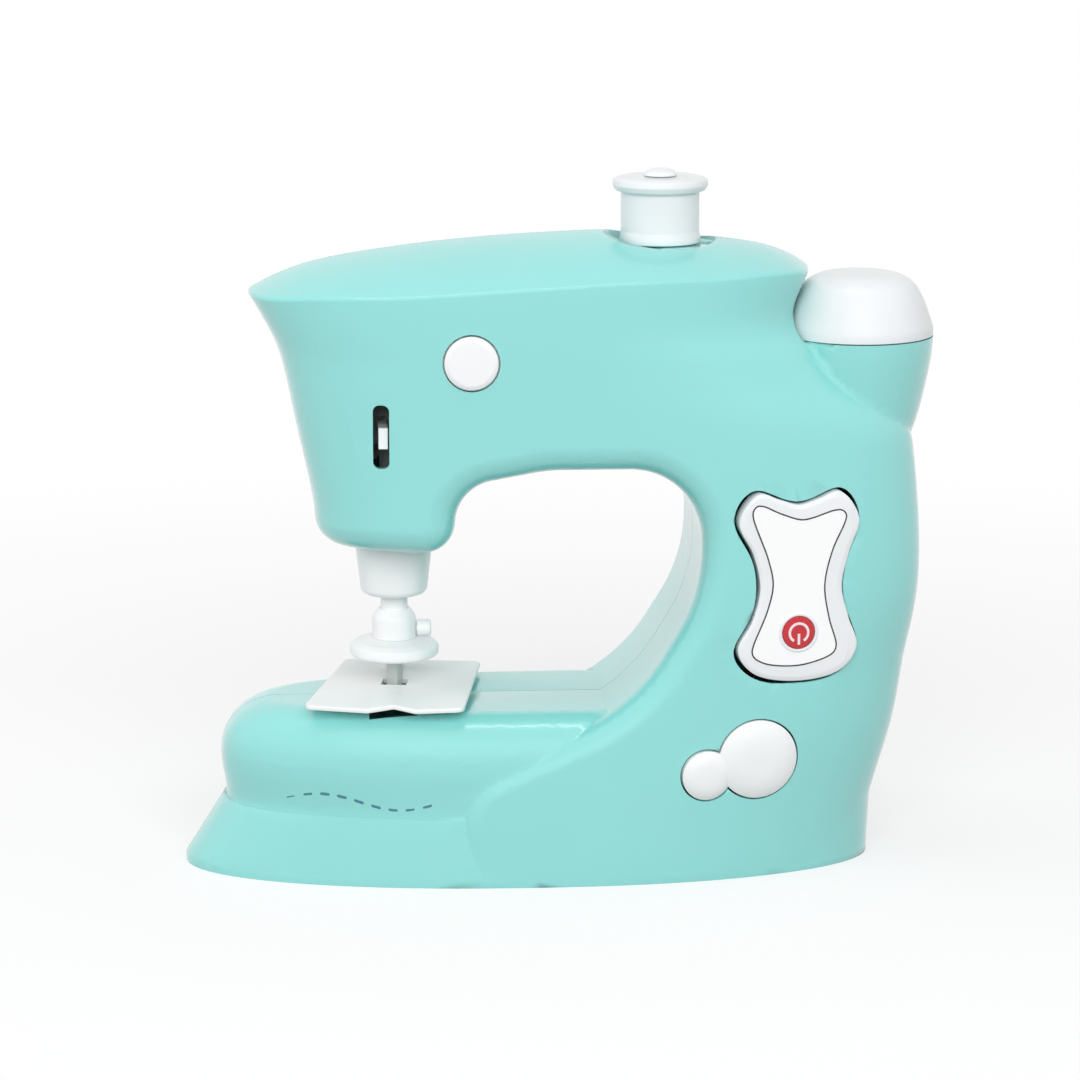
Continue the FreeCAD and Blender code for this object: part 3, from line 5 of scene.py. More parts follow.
import bpy
import numpy as np
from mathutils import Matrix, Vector


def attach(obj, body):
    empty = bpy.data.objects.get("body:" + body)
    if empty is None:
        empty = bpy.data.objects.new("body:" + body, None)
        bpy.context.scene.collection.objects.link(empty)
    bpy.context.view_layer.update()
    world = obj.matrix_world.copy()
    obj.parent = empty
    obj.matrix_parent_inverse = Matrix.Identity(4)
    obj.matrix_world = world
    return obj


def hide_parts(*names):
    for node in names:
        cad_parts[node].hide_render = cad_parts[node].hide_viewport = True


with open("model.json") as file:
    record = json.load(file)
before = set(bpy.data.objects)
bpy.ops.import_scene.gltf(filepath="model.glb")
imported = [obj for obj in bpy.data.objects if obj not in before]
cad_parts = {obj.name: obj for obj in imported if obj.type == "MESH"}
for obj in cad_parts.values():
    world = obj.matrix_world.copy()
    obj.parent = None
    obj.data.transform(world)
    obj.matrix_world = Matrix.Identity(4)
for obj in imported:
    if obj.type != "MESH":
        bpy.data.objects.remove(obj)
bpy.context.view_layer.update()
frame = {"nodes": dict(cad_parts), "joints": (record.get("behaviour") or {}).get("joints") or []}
MM = 0.001

# Sizes of the machine in millimetres, in the frame of the solids
NEEDLE_X = -54.8
SPOOL_X = 34.2
SPOOL_LOW = 209.2
SPOOL_TOP = 231.0
PIN_LOW = 200.3
WHEEL_X = 101.0
WHEEL_SEAT = 177.8
CLAMP_SCREW_HEIGHT = 79.0
COLLAR_LOW = 69.8
CLAMP_LOW = 76.0
FOOT_LOW = 58.7
FOOT_THICK = 1.6
PRESSER_Y = 21.0
BED_SPOT = (-66.0, 28.0)
BED_REACH = (34.0, 10.0)
STITCH_LEFT = -92.0
STITCH_RIGHT = -47.0

# Heights out of the panel's seat, and the place of the power button below the panel's middle
PANEL_BACK = -4.3
PANEL_FACE = 1.95
LABEL_FACE = 1.99
INK_FACE = 2.04
PRINT_SEAT = 1.8
SIGN_FACE = 2.68
POWER_DROP = -15.0
POWER_BORE = 5.62

# Angles in degrees past which an edge is drawn sharp
CREASE = 35.0
SHELL_CREASE = 32.0


# Colours and materials

def linear(code):
    """Linear colour of an sRGB hex value, by the standard curve."""
    value = np.array([int(code[i:i + 2], 16) for i in (1, 3, 5)]) / 255.0
    low, high = value / 12.92, ((value + 0.055) / 1.055) ** 2.4
    return tuple(float(v) for v in np.where(value <= 0.04045, low, high)) + (1.0,)


def add(tree, kind, inputs=(), **settings):
    """Adds a node with its settings; an input is a value, or a socket to link from."""
    item = tree.nodes.new(kind)
    for name, value in settings.items():
        setattr(item, name, value)
    for key, value in dict(inputs).items():
        if isinstance(value, bpy.types.NodeSocket):
            tree.links.new(value, item.inputs[key])
        else:
            item.inputs[key].default_value = value
    return item


def blank(name):
    """New material with an empty node tree and its output."""
    material = bpy.data.materials.new(name)
    material.use_nodes = True
    tree = material.node_tree
    tree.nodes.clear()
    return material, tree, add(tree, "ShaderNodeOutputMaterial")


# Optics that the plastics share, how far a gloss wanders and how far apart drawn marks lie
PLASTIC_IOR = 1.53
PLASTIC_WANDER = 0.05
COAT_ROUGH = 0.12
METAL_WANDER = 0.08
DRAWN_MARK_MM = 0.4


def moulded(name, light, dark, rough, grain_mm, cloud_mm, relief, coat=0.0):
    """Injection-moulded plastic: even colour with a slow drift, a tool grain and a gloss that wanders.
    The grain is drawn about a millimetre wide, coarser than a real mould's, so that it shows."""
    material, tree, output = blank(name)
    where = add(tree, "ShaderNodeTexCoord").outputs["Object"]
    cloud = add(tree, "ShaderNodeTexNoise", {"Vector": where, "Scale": 1 / (cloud_mm * MM), "Detail": 2.0})
    grain = add(tree, "ShaderNodeTexNoise", {"Vector": where, "Scale": 1 / (grain_mm * MM), "Detail": 3.0})
    tint = add(tree, "ShaderNodeMix", {"Factor": cloud.outputs["Fac"], "A": linear(dark), "B": linear(light)},
               data_type="RGBA")
    gloss = add(tree, "ShaderNodeMapRange", {
        "Value": grain.outputs["Fac"], "To Min": rough - PLASTIC_WANDER, "To Max": rough + PLASTIC_WANDER})
    bump = add(tree, "ShaderNodeBump", {
        "Height": grain.outputs["Fac"], "Distance": relief * MM, "Strength": 1.0})
    shader = add(tree, "ShaderNodeBsdfPrincipled", {
        "Base Color": tint.outputs["Result"], "Roughness": gloss.outputs["Result"], "IOR": PLASTIC_IOR,
        "Normal": bump.outputs["Normal"], "Coat Weight": coat, "Coat Roughness": COAT_ROUGH})
    tree.links.new(shader.outputs["BSDF"], output.inputs["Surface"])
    return material


def metal(name, light, dark, rough, stretch):
    """Drawn metal: fine marks along one axis that break up the gloss."""
    material, tree, output = blank(name)
    where = add(tree, "ShaderNodeTexCoord").outputs["Object"]
    drawn = add(tree, "ShaderNodeMapping", {"Vector": where, "Scale": stretch})
    marks = add(tree, "ShaderNodeTexNoise", {
        "Vector": drawn.outputs["Vector"], "Scale": 1 / (DRAWN_MARK_MM * MM)})
    tint = add(tree, "ShaderNodeMix", {"Factor": marks.outputs["Fac"], "A": linear(dark), "B": linear(light)},
               data_type="RGBA")
    gloss = add(tree, "ShaderNodeMapRange", {
        "Value": marks.outputs["Fac"], "To Min": rough - METAL_WANDER, "To Max": rough + METAL_WANDER})
    shader = add(tree, "ShaderNodeBsdfPrincipled", {
        "Base Color": tint.outputs["Result"], "Metallic": 1.0, "Roughness": gloss.outputs["Result"]})
    tree.links.new(shader.outputs["BSDF"], output.inputs["Surface"])
    return material


# Mint ABS from a polished mould: an even colour under a clear, soft-edged gloss.
MINT = moulded("abs_mint_gloss_moulded", "#90DDD9", "#8AD8D4", 0.30, 1.1, 60.0, 0.004, 0.9)
# White ABS from the same kind of mould: bright, with a low sheen along each rounded edge.
WHITE = moulded("abs_white_gloss_moulded", "#F6F8F8", "#F2F4F5", 0.30, 1.0, 40.0, 0.004, 0.3)
# Cooler white ABS of the spool and the dome: a touch greyer, so that their roundness reads.
COOL_WHITE = moulded("abs_cool_white_gloss_moulded", "#ECEFF1", "#E7EBED", 0.32, 1.0, 40.0, 0.004, 0.2)
# Satin white ABS of the panel: a broad, faint sheen on its rounded rim. Its white is a touch greyer than the
# label's, and that grey is painted shade of the rounded rim.
PANEL_WHITE_SHADED = moulded("abs_white_satin_panel_painted_shade", "#F1F3F5", "#ECEFF1", 0.34, 0.8, 30.0, 0.003)
# Polyester label: the flattest and brightest white on the machine.
LABEL = moulded("polyester_label_white_gloss", "#FFFFFF", "#FCFDFE", 0.30, 0.8, 30.0, 0.002)
# White polypropylene of the foot plate: waxy, with a wide and dull highlight.
FOOT_WHITE = moulded("polypropylene_white_satin", "#F8FAF9", "#F3F6F5", 0.38, 0.9, 25.0, 0.004)
# Red ABS of the power cap: a deep colour with a small, fairly sharp highlight.
RED = moulded("abs_red_gloss_moulded", "#CB2D37", "#C22833", 0.28, 0.8, 20.0, 0.003)
# Polystyrene of the needle peg: smooth, and a little brighter at its edges. Its grey is partly the plastic's
# own and partly painted shade of the hollow between the collar and the foot plate.
PEG_GREY_AND_SHADE = moulded("polystyrene_grey_peg_and_painted_shade", "#C9CECC", "#BCC2C0", 0.24, 0.8, 10.0, 0.003)
# Dark pad-print ink: flat and almost without sheen.
INK = moulded("pad_print_ink_dark_grey", "#303437", "#2A2E31", 0.45, 0.5, 8.0, 0.002)
# White pad-print ink: warmed by the red that it lies on.
PRINT_WHITE = moulded("pad_print_ink_white", "#F6E9EA", "#F1E3E4", 0.42, 0.5, 8.0, 0.002)
# Slate blue pad-print ink of the stitches: flat, a little darker than the mint in shade.
STITCH = moulded("pad_print_ink_slate_blue", "#4F8794", "#487F8C", 0.45, 0.5, 8.0, 0.002)
# Natural acetal of the gears: creamy, with a slippery satin sheen.
ACETAL = moulded("acetal_natural_satin_gears", "#EDEBE2", "#E5E2D8", 0.42, 0.7, 12.0, 0.003)
# Grey satin ABS of the frame and the presser bar: plain and evenly dull.
GREY = moulded("abs_grey_satin_moulded", "#B9C0BE", "#AFB6B4", 0.42, 0.9, 30.0, 0.004)
# Black phenolic of the switches and the chip: matt and nearly without a highlight.
BLACK = moulded("phenolic_black_matt_moulded", "#26282A", "#202224", 0.55, 0.6, 10.0, 0.004)
# Glass-epoxy board under a solder mask: dark green with a thin gloss.
BOARD = moulded("glass_epoxy_green_solder_mask", "#1E6B3A", "#185E32", 0.36, 0.5, 9.0, 0.004)
# Printed foil round the cells: near black with a tight sheen.
JACKET = moulded("printed_foil_black_cell_jacket", "#2C2F36", "#24272D", 0.32, 0.6, 9.0, 0.002)
# Red vinyl over the leads: matt and soft.
LEAD = moulded("vinyl_red_matt_lead_cover", "#B3252B", "#A51F26", 0.5, 0.6, 9.0, 0.004)
# Bright drawn steel: fine lines that stretch each highlight along the piece.
STEEL = metal("steel_bright_drawn", "#C4C7CA", "#A9ADB1", 0.32, (1.0, 1.0, 0.08))
# Bright rolled brass: warm, with lines across the contact plates.
BRASS = metal("brass_bright_rolled", "#D8B765", "#C4A351", 0.30, (1.0, 0.08, 1.0))

NODE_MATERIALS = {
    MINT: ["front_shell", "rear_shell", "bottom_cover", "battery_door"],
    WHITE: ["spool", "spool_pin", "hand_wheel", "head_button", "bubble_button", "needle_guide",
            "needle_clamp", "clamp_screw", "needle_collar", "needle_yoke"],
    PANEL_WHITE_SHADED: ["control_panel"],
    FOOT_WHITE: ["presser_foot", "needle_bar"],
    PEG_GREY_AND_SHADE: ["needle"],
    RED: ["power_button"],
    GREY: ["presser_bar", "presser_ring", "battery_box", "gearbox_frame"],
    ACETAL: ["crank_gear", "idler_pinion", "idler_wheel", "motor_pinion"],
    STEEL: ["wheel_axle", "wheel_clip", "crank_pin", "crank_axle", "idler_shaft", "motor_shaft", "motor",
            "shell_screws", "frame_screws", "cover_screws"],
    BRASS: ["battery_contacts"],
    JACKET: ["battery_cells"],
    BOARD: ["circuit_board", "head_board", "bubble_board"],
    BLACK: ["power_switch", "head_switch", "bubble_switch", "control_chip"],
    LEAD: ["battery_lead", "motor_lead"],
}


def paint_nodes():
    """Gives each CAD node that still shows its own material."""
    for material, names in NODE_MATERIALS.items():
        for name in names:
            item = frame["nodes"][name]
            item.data.materials.clear()
            item.data.materials.append(material)


# Mesh helpers

def volume(points, faces):
    """Signed volume: a sixth of the sum of each triangle's triple product."""
    a, b, c = (points[faces[:, i]] for i in range(3))
    total = np.einsum("ij,ij->", a, np.cross(b, c))
    if faces.shape[1] == 4:
        d = points[faces[:, 3]]
        total += np.einsum("ij,ij->", a, np.cross(c, d))
    return total / 6


def mesh_of(name, points, face_groups):
    """Mesh from points in millimetres and arrays of faces."""
    mesh = bpy.data.meshes.new(name)
    mesh.from_pydata((points * MM).tolist(), [], [row for faces in face_groups for row in faces.tolist()])
    return mesh


def in_scene(name, data):
    """New object of a mesh, a lamp or a camera, linked to the scene."""
    item = bpy.data.objects.new(name, data)
    bpy.context.scene.collection.objects.link(item)
    return item


def smooth(mesh, crease):
    """Smooth shading that breaks at edges sharper than the crease."""
    mesh.polygons.foreach_set("use_smooth", np.ones(len(mesh.polygons), bool))
    mesh.set_sharp_from_angle(angle=math.radians(crease))


def work_in(item, kind, **settings):
    """Applies one modifier with its settings to an object's mesh."""
    step = item.modifiers.new(kind.lower(), kind)
    for name, value in settings.items():
        setattr(step, name, value)
    with bpy.context.temp_override(object=item, active_object=item, selected_objects=[item]):
        bpy.ops.object.modifier_apply(modifier=step.name)


def piece(name, points, face_groups, material, body, nodes=(), slot=None):
    """Closed mesh from points in millimetres and arrays of faces, turned outward, riding on a body."""
    points = np.asarray(points, float)
    if sum(volume(points, faces) for faces in face_groups) < 0:
        face_groups = [faces[:, ::-1] for faces in face_groups]
    mesh = mesh_of(name, points, face_groups)
    smooth(mesh, CREASE)
    mesh.materials.append(material)
    mesh.update()
    item = in_scene(name, mesh)
    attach(item, body)
    if nodes:
        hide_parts(*nodes)
    return item


def grid_faces(rows, columns, wrap_rows=False, wrap_columns=False):
    """Quads of a grid of rows by columns, closed round in either way."""
    row = np.arange(rows if wrap_rows else rows - 1)[:, None]
    column = np.arange(columns if wrap_columns else columns - 1)[None, :]
    after_row, after_column = (row + 1) % rows, (column + 1) % columns
    corners = [row * columns + column, row * columns + after_column, after_row * columns + after_column,
               after_row * columns + column]
    shape = np.broadcast_shapes(row.shape, column.shape)
    return np.stack([np.broadcast_to(corner, shape) for corner in corners], -1).reshape(-1, 4)


def end_fans(rows, columns):
    """Triangles that close a grid at its first and last row, each to one point listed after the grid."""
    around = np.arange(columns)
    after = (around + 1) % columns
    last_row, pole = (rows - 1) * columns, rows * columns
    return [np.stack([np.full(columns, pole), after, around], -1),
            np.stack([np.full(columns, pole + 1), last_row + around, last_row + after], -1)]


def soften(corners, steps=8):
    """Polyline through (a, b, radius) corners, each rounded by an arc that is tangent to both sides."""
    corners = np.asarray(corners, float)
    line = [corners[:1, :2]]
    for before, here, after in zip(corners, corners[1:], corners[2:]):
        point, radius = here[:2], here[2]
        if radius <= 0:
            line.append(point[None])
            continue
        back = (before[:2] - point) / np.linalg.norm(before[:2] - point)
        onward = (after[:2] - point) / np.linalg.norm(after[:2] - point)
        half = math.acos(float(np.clip(back @ onward, -1, 1))) / 2
        reach = radius / math.tan(half)
        middle = back + onward
        centre = point + middle / np.linalg.norm(middle) * radius / math.sin(half)
        start, end = point + back * reach - centre, point + onward * reach - centre
        share = np.linspace(0, 1, steps)[:, None]
        wide = math.pi - 2 * half
        arc = (np.sin((1 - share) * wide) * start + np.sin(share * wide) * end) / math.sin(wide)
        line.append(centre + arc)
    line.append(corners[-1:, :2])
    return np.vstack(line)


def cubic(k, start, leave, end, arrive):
    """Cubic between two points with a slope at each, at the share k of the way."""
    return ((2 * k ** 3 - 3 * k ** 2 + 1) * start + (k ** 3 - 2 * k ** 2 + k) * leave
            + (3 * k ** 2 - 2 * k ** 3) * end + (k ** 3 - k ** 2) * arrive)


def smooth_line(points, count):
    """Cubic curve through a few points, by chord length, with slopes from the neighbours."""
    points = np.asarray(points, float)
    chord = np.concatenate([[0], np.cumsum(np.linalg.norm(np.diff(points, axis=0), axis=1))])
    slope = np.gradient(points, chord, axis=0)
    place = np.linspace(0, chord[-1], count)
    index = np.clip(np.searchsorted(chord, place, side="right") - 1, 0, len(chord) - 2)
    span = (chord[index + 1] - chord[index])[:, None]
    k = (place - chord[index])[:, None] / span
    return cubic(k, points[index], span * slope[index], points[index + 1], span * slope[index + 1])


def lathe(profile, turns=112):
    """Surface of revolution about Z: each (radius, height) of the profile is swept round.
    A profile that starts at radius 0 ends there too, and both ends are poles."""
    profile = np.asarray(profile, float)
    angle = np.linspace(0, 2 * math.pi, turns, endpoint=False)
    solid = profile[0, 0] < 1e-6
    body = profile[1:-1] if solid else profile
    ring = np.stack([body[:, 0, None] * np.cos(angle), body[:, 0, None] * np.sin(angle),
                     np.broadcast_to(body[:, 1, None], (len(body), turns))], -1).reshape(-1, 3)
    if not solid:
        return ring, [grid_faces(len(body), turns, True, True)]
    poles = np.array([[0, 0, profile[0, 1]], [0, 0, profile[-1, 1]]])
    return np.vstack([ring, poles]), [grid_faces(len(body), turns, False, True)] + end_fans(len(body), turns)


def upright(shape, x, y=0.0):
    """Moves a turned shape to its axis."""
    points, faces = shape
    return points + np.array([x, y, 0.0]), faces


def turned(flat, degrees):
    """Points in plan, turned about the origin by an angle."""
    angle = math.radians(degrees)
    return flat @ np.array([[math.cos(angle), math.sin(angle)], [-math.sin(angle), math.cos(angle)]])


class Seat:
    """Frame on the front face: local Y runs into the machine along a joint's axis."""

    def __init__(self, origin, joint):
        inward = np.array([j["axis"] for j in frame["joints"] if j["name"] == joint][0], float)
        self.inward = inward / np.linalg.norm(inward)
        up = np.array([0.0, 0.0, 1.0]) - self.inward[2] * self.inward
        self.up = up / np.linalg.norm(up)
        self.along = np.cross(self.inward, self.up)
        self.origin = np.array(origin, float)

    def place(self, points):
        """Points of the seat's own frame, in the frame of the machine."""
        points = np.asarray(points, float)
        return self.origin + points @ np.stack([self.along, self.inward, self.up])

    def facing(self, shape, x=0.0, z=0.0):
        """Turned shape whose axis is stood out of the face, with its height towards the viewer."""
        points, faces = shape
        local = np.stack([points[:, 0] + x, -points[:, 2], points[:, 1] + z], -1)
        return self.place(local), faces


# Places on the front face where the panel and the buttons sit
PANEL = Seat((77.105, -35.768, 99.319), "power_press")
HEAD = Seat((-30.1, -37.013, 175.0), "head_press")
BUBBLE = Seat((64.406, -36.71, 41.224), "bubble_press")


# White pieces

def make_spool():
    """Thread spool: barrel between a thin foot and a thick lipped head, on a domed pin."""
    low, high, bore_radius = SPOOL_LOW, SPOOL_TOP, 4.1
    profile = soften([
        (bore_radius, low + 8, 0), (bore_radius, low, 0.4), (13.6, low, 0.6), (13.5, low + 1.6, 2.0),
        (13.0, low + 4.0, 3.0), (13.0, high - 5.0, 0.8), (15.0, high - 4.4, 1.0), (15.9, high - 2.6, 1.0),
        (15.6, high - 0.9, 0.8), (13.6, high - 0.1, 1.0), (bore_radius, high, 0.3),
        (bore_radius, low + 8, 0)])
    piece("thread_spool", *upright(lathe(profile[:-1]), SPOOL_X), COOL_WHITE, "spool", ["spool"],
          "white_abs")
    pin = soften([
        (0, PIN_LOW, 0), (7.0, PIN_LOW, 0.4), (7.0, PIN_LOW + 2, 0.4), (4.0, PIN_LOW + 2, 0.3),
        (4.0, high + 0.25, 0.1), (5.6, high + 0.25, 0.2), (5.2, high + 1.6, 1.2), (2.4, high + 2.6, 2.0),
        (0, high + 2.7, 0)])
    piece("spool_pin_domed", *upright(lathe(pin, 64), SPOOL_X), COOL_WHITE, "machine", ["spool_pin"],
          "white_abs")


def make_hand_wheel():
    """Hollow dome: skirt, shoulder and flat crown, the same drawn in by the wall inside, and a hub."""
    outside = smooth_line([(24.9, 0.2), (24.85, 1.9), (23.5, 6.6), (20.9, 13.1), (18.2, 17.2), (14.2, 19.7),
                           (7.6, 20.95), (0, 21.3)], 64)
    inside = smooth_line([(6.0, 18.8), (7.6, 18.7), (12.4, 17.6), (16.0, 15.4), (18.7, 11.6), (21.2, 5.8),
                          (22.5, 1.9), (22.7, 0.5)], 40)
    rim = [(22.75, 0.15), (22.95, 0), (24.7, 0)]
    hub = [(0, 17.1), (2.98, 17.1), (2.98, 0), (5.8, 0), (6.0, 0.2)]
    profile = np.vstack([hub, inside, rim, outside])
    profile[:, 1] += WHEEL_SEAT
    piece("hand_wheel_dome", *upright(lathe(profile, 144), WHEEL_X), COOL_WHITE, "hand_wheel", ["hand_wheel"],
          "white_abs")


def make_needle():
    """Bush, clamp, collar and clamp screw of the needle, each turned about its own axis."""
    bush_bore, bar = 4.64, 4.5
    bush = soften([
        (bush_bore, 110, 0), (bush_bore, 91.2, 0.4), (11.0, 91.2, 2.6), (12.9, 108.0, 4.0), (13.0, 112.7, 0),
        (14.2, 112.7, 0.3), (14.2, 115.1, 0.3), (8.0, 115.1, 0.4), (8.0, 126, 0.4), (bush_bore, 126, 0.4),
        (bush_bore, 110, 0)])
    piece("nose_bush", *upright(lathe(bush[:-1]), NEEDLE_X), WHITE, "machine", ["needle_guide"], "white_abs")
    clamp = soften([
        (0, CLAMP_LOW + 1, 0), (bar, CLAMP_LOW + 1, 0), (bar, 86.0, 0.2), (5.4, 86.0, 0.4), (7.4, 83.2, 3.6),
        (7.4, CLAMP_LOW, 0.2), (0, CLAMP_LOW, 0)])
    piece("needle_clamp_sleeve", *upright(lathe(clamp), NEEDLE_X), WHITE, "needle", ["needle_clamp"],
          "white_abs")
    collar_top = CLAMP_LOW - 0.02
    collar = soften([
        (0, collar_top, 0), (7.6, collar_top, 0.4), (13.0, 75.0, 1.5), (15.0, 73.4, 1.6), (15.0, 70.4, 1.6),
        (13.6, COLLAR_LOW, 1.0), (0, COLLAR_LOW, 0)])
    piece("needle_collar_disc", *upright(lathe(collar), NEEDLE_X), WHITE, "needle", ["needle_collar"],
          "white_abs")
    knob = soften([
        (0, 4.6, 0), (1.38, 4.6, 0), (1.38, 7.6, 0), (2.8, 7.6, 0.3), (2.8, 12.4, 0.9), (0, 12.4, 0)])
    points, faces = lathe(knob, 48)
    points = np.stack([points[:, 2] + NEEDLE_X, points[:, 1], points[:, 0] + CLAMP_SCREW_HEIGHT], -1)
    piece("clamp_screw_knob", points, faces, WHITE, "needle", ["clamp_screw"], "white_abs")


def bubble_cap(radius, rise, back):
    """Cap with a flattish face: its height falls with a high power of the radius, over a straight skirt."""
    reach = np.sin(np.linspace(0, 1, 24) * math.pi / 2)
    face = np.stack([radius * reach, rise * (1 - reach ** 3.4) + 0.5], -1)
    return np.vstack([face, [(radius, -back)], [(0, -back)]])


def make_buttons():
    """Round head button with a soft rim, and the double-bubble button with two domed caps."""
    cap = soften([
        (0, -6.46, 0), (2.0, -6.46, 0.2), (2.0, -3.96, 0), (10.3, -3.96, 0.2), (10.3, -2.76, 0.2),
        (8.8, -2.76, 0), (8.8, 0.9, 0.7), (7.3, 1.6, 1.2), (0, 1.75, 0)])
    piece("head_button_cap", *HEAD.facing(lathe(cap, 96)), WHITE, "head_button", ["head_button"], "white_abs")
    piece("bubble_large", *BUBBLE.facing(lathe(bubble_cap(13.4, 2.6, 4.6), 112)), WHITE, "bubble_button",
          ["bubble_button"], "white_abs")
    piece("bubble_small", *BUBBLE.facing(lathe(bubble_cap(8.4, 2.1, 4.6), 96), -17.4, -4.6), WHITE,
          "bubble_button", (), "white_abs")


# Control panel

def closed_line(knots, count=360):
    """Smooth closed curve through a few points: a cubic between each pair, with centripetal slopes."""
    knots = np.asarray(knots, float)
    share = np.linspace(0, len(knots), count, endpoint=False)
    index = share.astype(int)
    before, start, end, after = (knots[(index + shift) % len(knots)] for shift in (-1, 0, 1, 2))
    pairs = ((before, start), (start, end), (end, after))
    reach = [np.sqrt(np.linalg.norm(far - near, axis=1))[:, None] for near, far in pairs]
    leave = (start - before) / reach[0] - (end - before) / (reach[0] + reach[1]) + (end - start) / reach[1]
    arrive = (end - start) / reach[1] - (after - start) / (reach[1] + reach[2]) + (after - end) / reach[2]
    return cubic((share - index)[:, None], start, reach[1] * leave, end, reach[1] * arrive)


def by_angle(line, count=720):
    """The same closed line at even angles round the origin, so that two of them can be blended."""
    angle = np.linspace(-math.pi, math.pi, count, endpoint=False)
    bearing, reach = np.arctan2(line[:, 1], line[:, 0]), np.linalg.norm(line, axis=1)
    reach = np.interp(angle, bearing, reach, period=2 * math.pi)
    return np.stack([reach * np.cos(angle), reach * np.sin(angle)], -1)


def bone_side(half, waist, top, dip, low):
    """Points down one side of the bone-shaped panel, from the dip at its top to the middle of its foot."""
    return np.array([(0, dip), (0.32 * half, dip + 0.45 * (top - dip)), (0.68 * half, top), (half, top - 9.0),
                     (waist + 2.2, 0.35 * top), (waist, 0), (waist + 2.4, 0.33 * low), (half, low + 11),
                     (0.74 * half, low + 3.2), (0, low)])


def panel_outline():
    """Outline of the panel: its right side, then its left side mirrored, with a waist of its own."""
    right = bone_side(20.3, 14.8, 31.7, 27.8, -31.7)
    left = bone_side(20.3, 13.0, 31.7, 27.8, -31.7) * (-1, 1)
    return by_angle(closed_line(np.vstack([right, left[-2:0:-1]])))


PANEL_EDGE = panel_outline()
PANEL_LINE = by_angle(closed_line([
    (0.3, 23.0), (3.9, 23.4), (11.7, 25.7), (14.3, 25.6), (15.6, 24.1), (15.3, 21.9), (11.1, 12.2),
    (8.7, 0.6), (10.4, -10.6), (13.0, -19.7), (12.4, -21.9), (10.4, -23.5), (0.9, -26.1), (-9.2, -25.6),
    (-13.2, -24.2), (-15.1, -22.7), (-15.7, -21.0), (-15.3, -18.8), (-10.7, -7.3), (-8.9, 1.5),
    (-10.6, 9.8), (-16.0, 24.4), (-15.9, 26.6), (-14.6, 28.0), (-12.7, 28.0), (-6.7, 25.3)]))


def on_face(flat, height, seat):
    """Points of closed lines on a seat, each line with its own height out of the face."""
    height = np.broadcast_to(np.reshape(height, (-1, 1)), flat.shape[:2])
    return seat.place(np.stack([flat[..., 0], -height, flat[..., 1]], -1).reshape(-1, 3))


def capped(lines, height, seat):
    """Closed lines stacked on a seat, each at its own height, with a point on the seat's axis at each end."""
    rows, count = lines.shape[:2]
    poles = seat.place([(0, -height[0], 0), (0, -height[-1], 0)])
    points = np.vstack([on_face(lines, height, seat), poles])
    return points, [grid_faces(rows, count, False, True)] + end_fans(rows, count)


def bore(item, radius, seat, z):
    """Cuts a round hole through a piece, square to its seat."""
    drill = lathe([(0, -20), (radius, -20), (radius, 20), (0, 20)], 96)
    mesh = mesh_of("bore", *seat.facing(drill, 0, z))
    work_in(item, "BOOLEAN", operation="DIFFERENCE", solver="EXACT", object=in_scene("bore", mesh))
    bpy.data.meshes.remove(mesh)
    smooth(item.data, CREASE)


def make_panel():
    """Panel plate: the outline blends into the printed line over a rounded rim, then shrinks to a point.
    A thin white label lies inside the printed line, and both are bored for the power button."""
    rim = soften([(0, PANEL_BACK, 0), (0, 1.2, 0.9), (0.28, 1.75, 0.12), (0.95, PANEL_FACE, 0),
                  (1.0, PANEL_FACE, 0)], 9)
    share = np.clip(rim[:, 0], 0, 1)[:, None, None]
    rows = PANEL_EDGE + share * (PANEL_LINE - PANEL_EDGE)
    inner = PANEL_LINE * np.array([0.8, 0.6, 0.4, 0.2])[:, None, None]
    plate = np.concatenate([PANEL_EDGE[None] * 0.6, rows, inner])
    height = np.concatenate([[PANEL_BACK], rim[:, 1], np.full(4, PANEL_FACE)])
    # The plate's white is a touch greyer than the label's: painted shade of its rounded rim.
    item = piece("panel_plate", *capped(plate, height, PANEL), PANEL_WHITE_SHADED, "machine", ["control_panel"],
                 "white_abs")
    bore(item, POWER_BORE, PANEL, POWER_DROP)
    label = np.concatenate([PANEL_LINE[None] * 0.5, PANEL_LINE[None], PANEL_LINE[None], inner])
    height = np.concatenate([[PRINT_SEAT, PRINT_SEAT], np.full(5, LABEL_FACE)])
    item = piece("panel_label", *capped(label, height, PANEL), LABEL, "machine", (), "white_abs")
    bore(item, POWER_BORE, PANEL, POWER_DROP)
    tangent = np.roll(PANEL_LINE, -1, 0) - np.roll(PANEL_LINE, 1, 0)
    normal = np.stack([-tangent[:, 1], tangent[:, 0]], -1) / np.linalg.norm(tangent, axis=1)[:, None]
    wide = np.array([-0.24, -0.24, 0.24, 0.24])[:, None, None]
    band = on_face(PANEL_LINE + wide * normal, [PRINT_SEAT, INK_FACE, INK_FACE, PRINT_SEAT], PANEL)
    piece("panel_printed_line", band, [grid_faces(4, len(PANEL_LINE), True, True)], INK, "machine", (),
          "black_plastic")


def ribbon(path, wide, low, high, seat):
    """Flat strip of a given width along an open line on a seat, from one height to another."""
    tangent = np.gradient(path, axis=0)
    tangent /= np.linalg.norm(tangent, axis=1)[:, None]
    side = np.stack([-tangent[:, 1], tangent[:, 0]], -1) * wide / 2
    edges = ((path + side, low), (path + side, high), (path - side, high), (path - side, low))
    rows = [np.stack([edge[:, 0], np.full(len(path), -height), edge[:, 1]], -1) for edge, height in edges]
    count = len(path)
    ring = np.arange(4) * count
    caps = np.stack([ring, ring[::-1] + count - 1])
    return seat.place(np.concatenate(rows)), [grid_faces(4, count, True, False), caps]


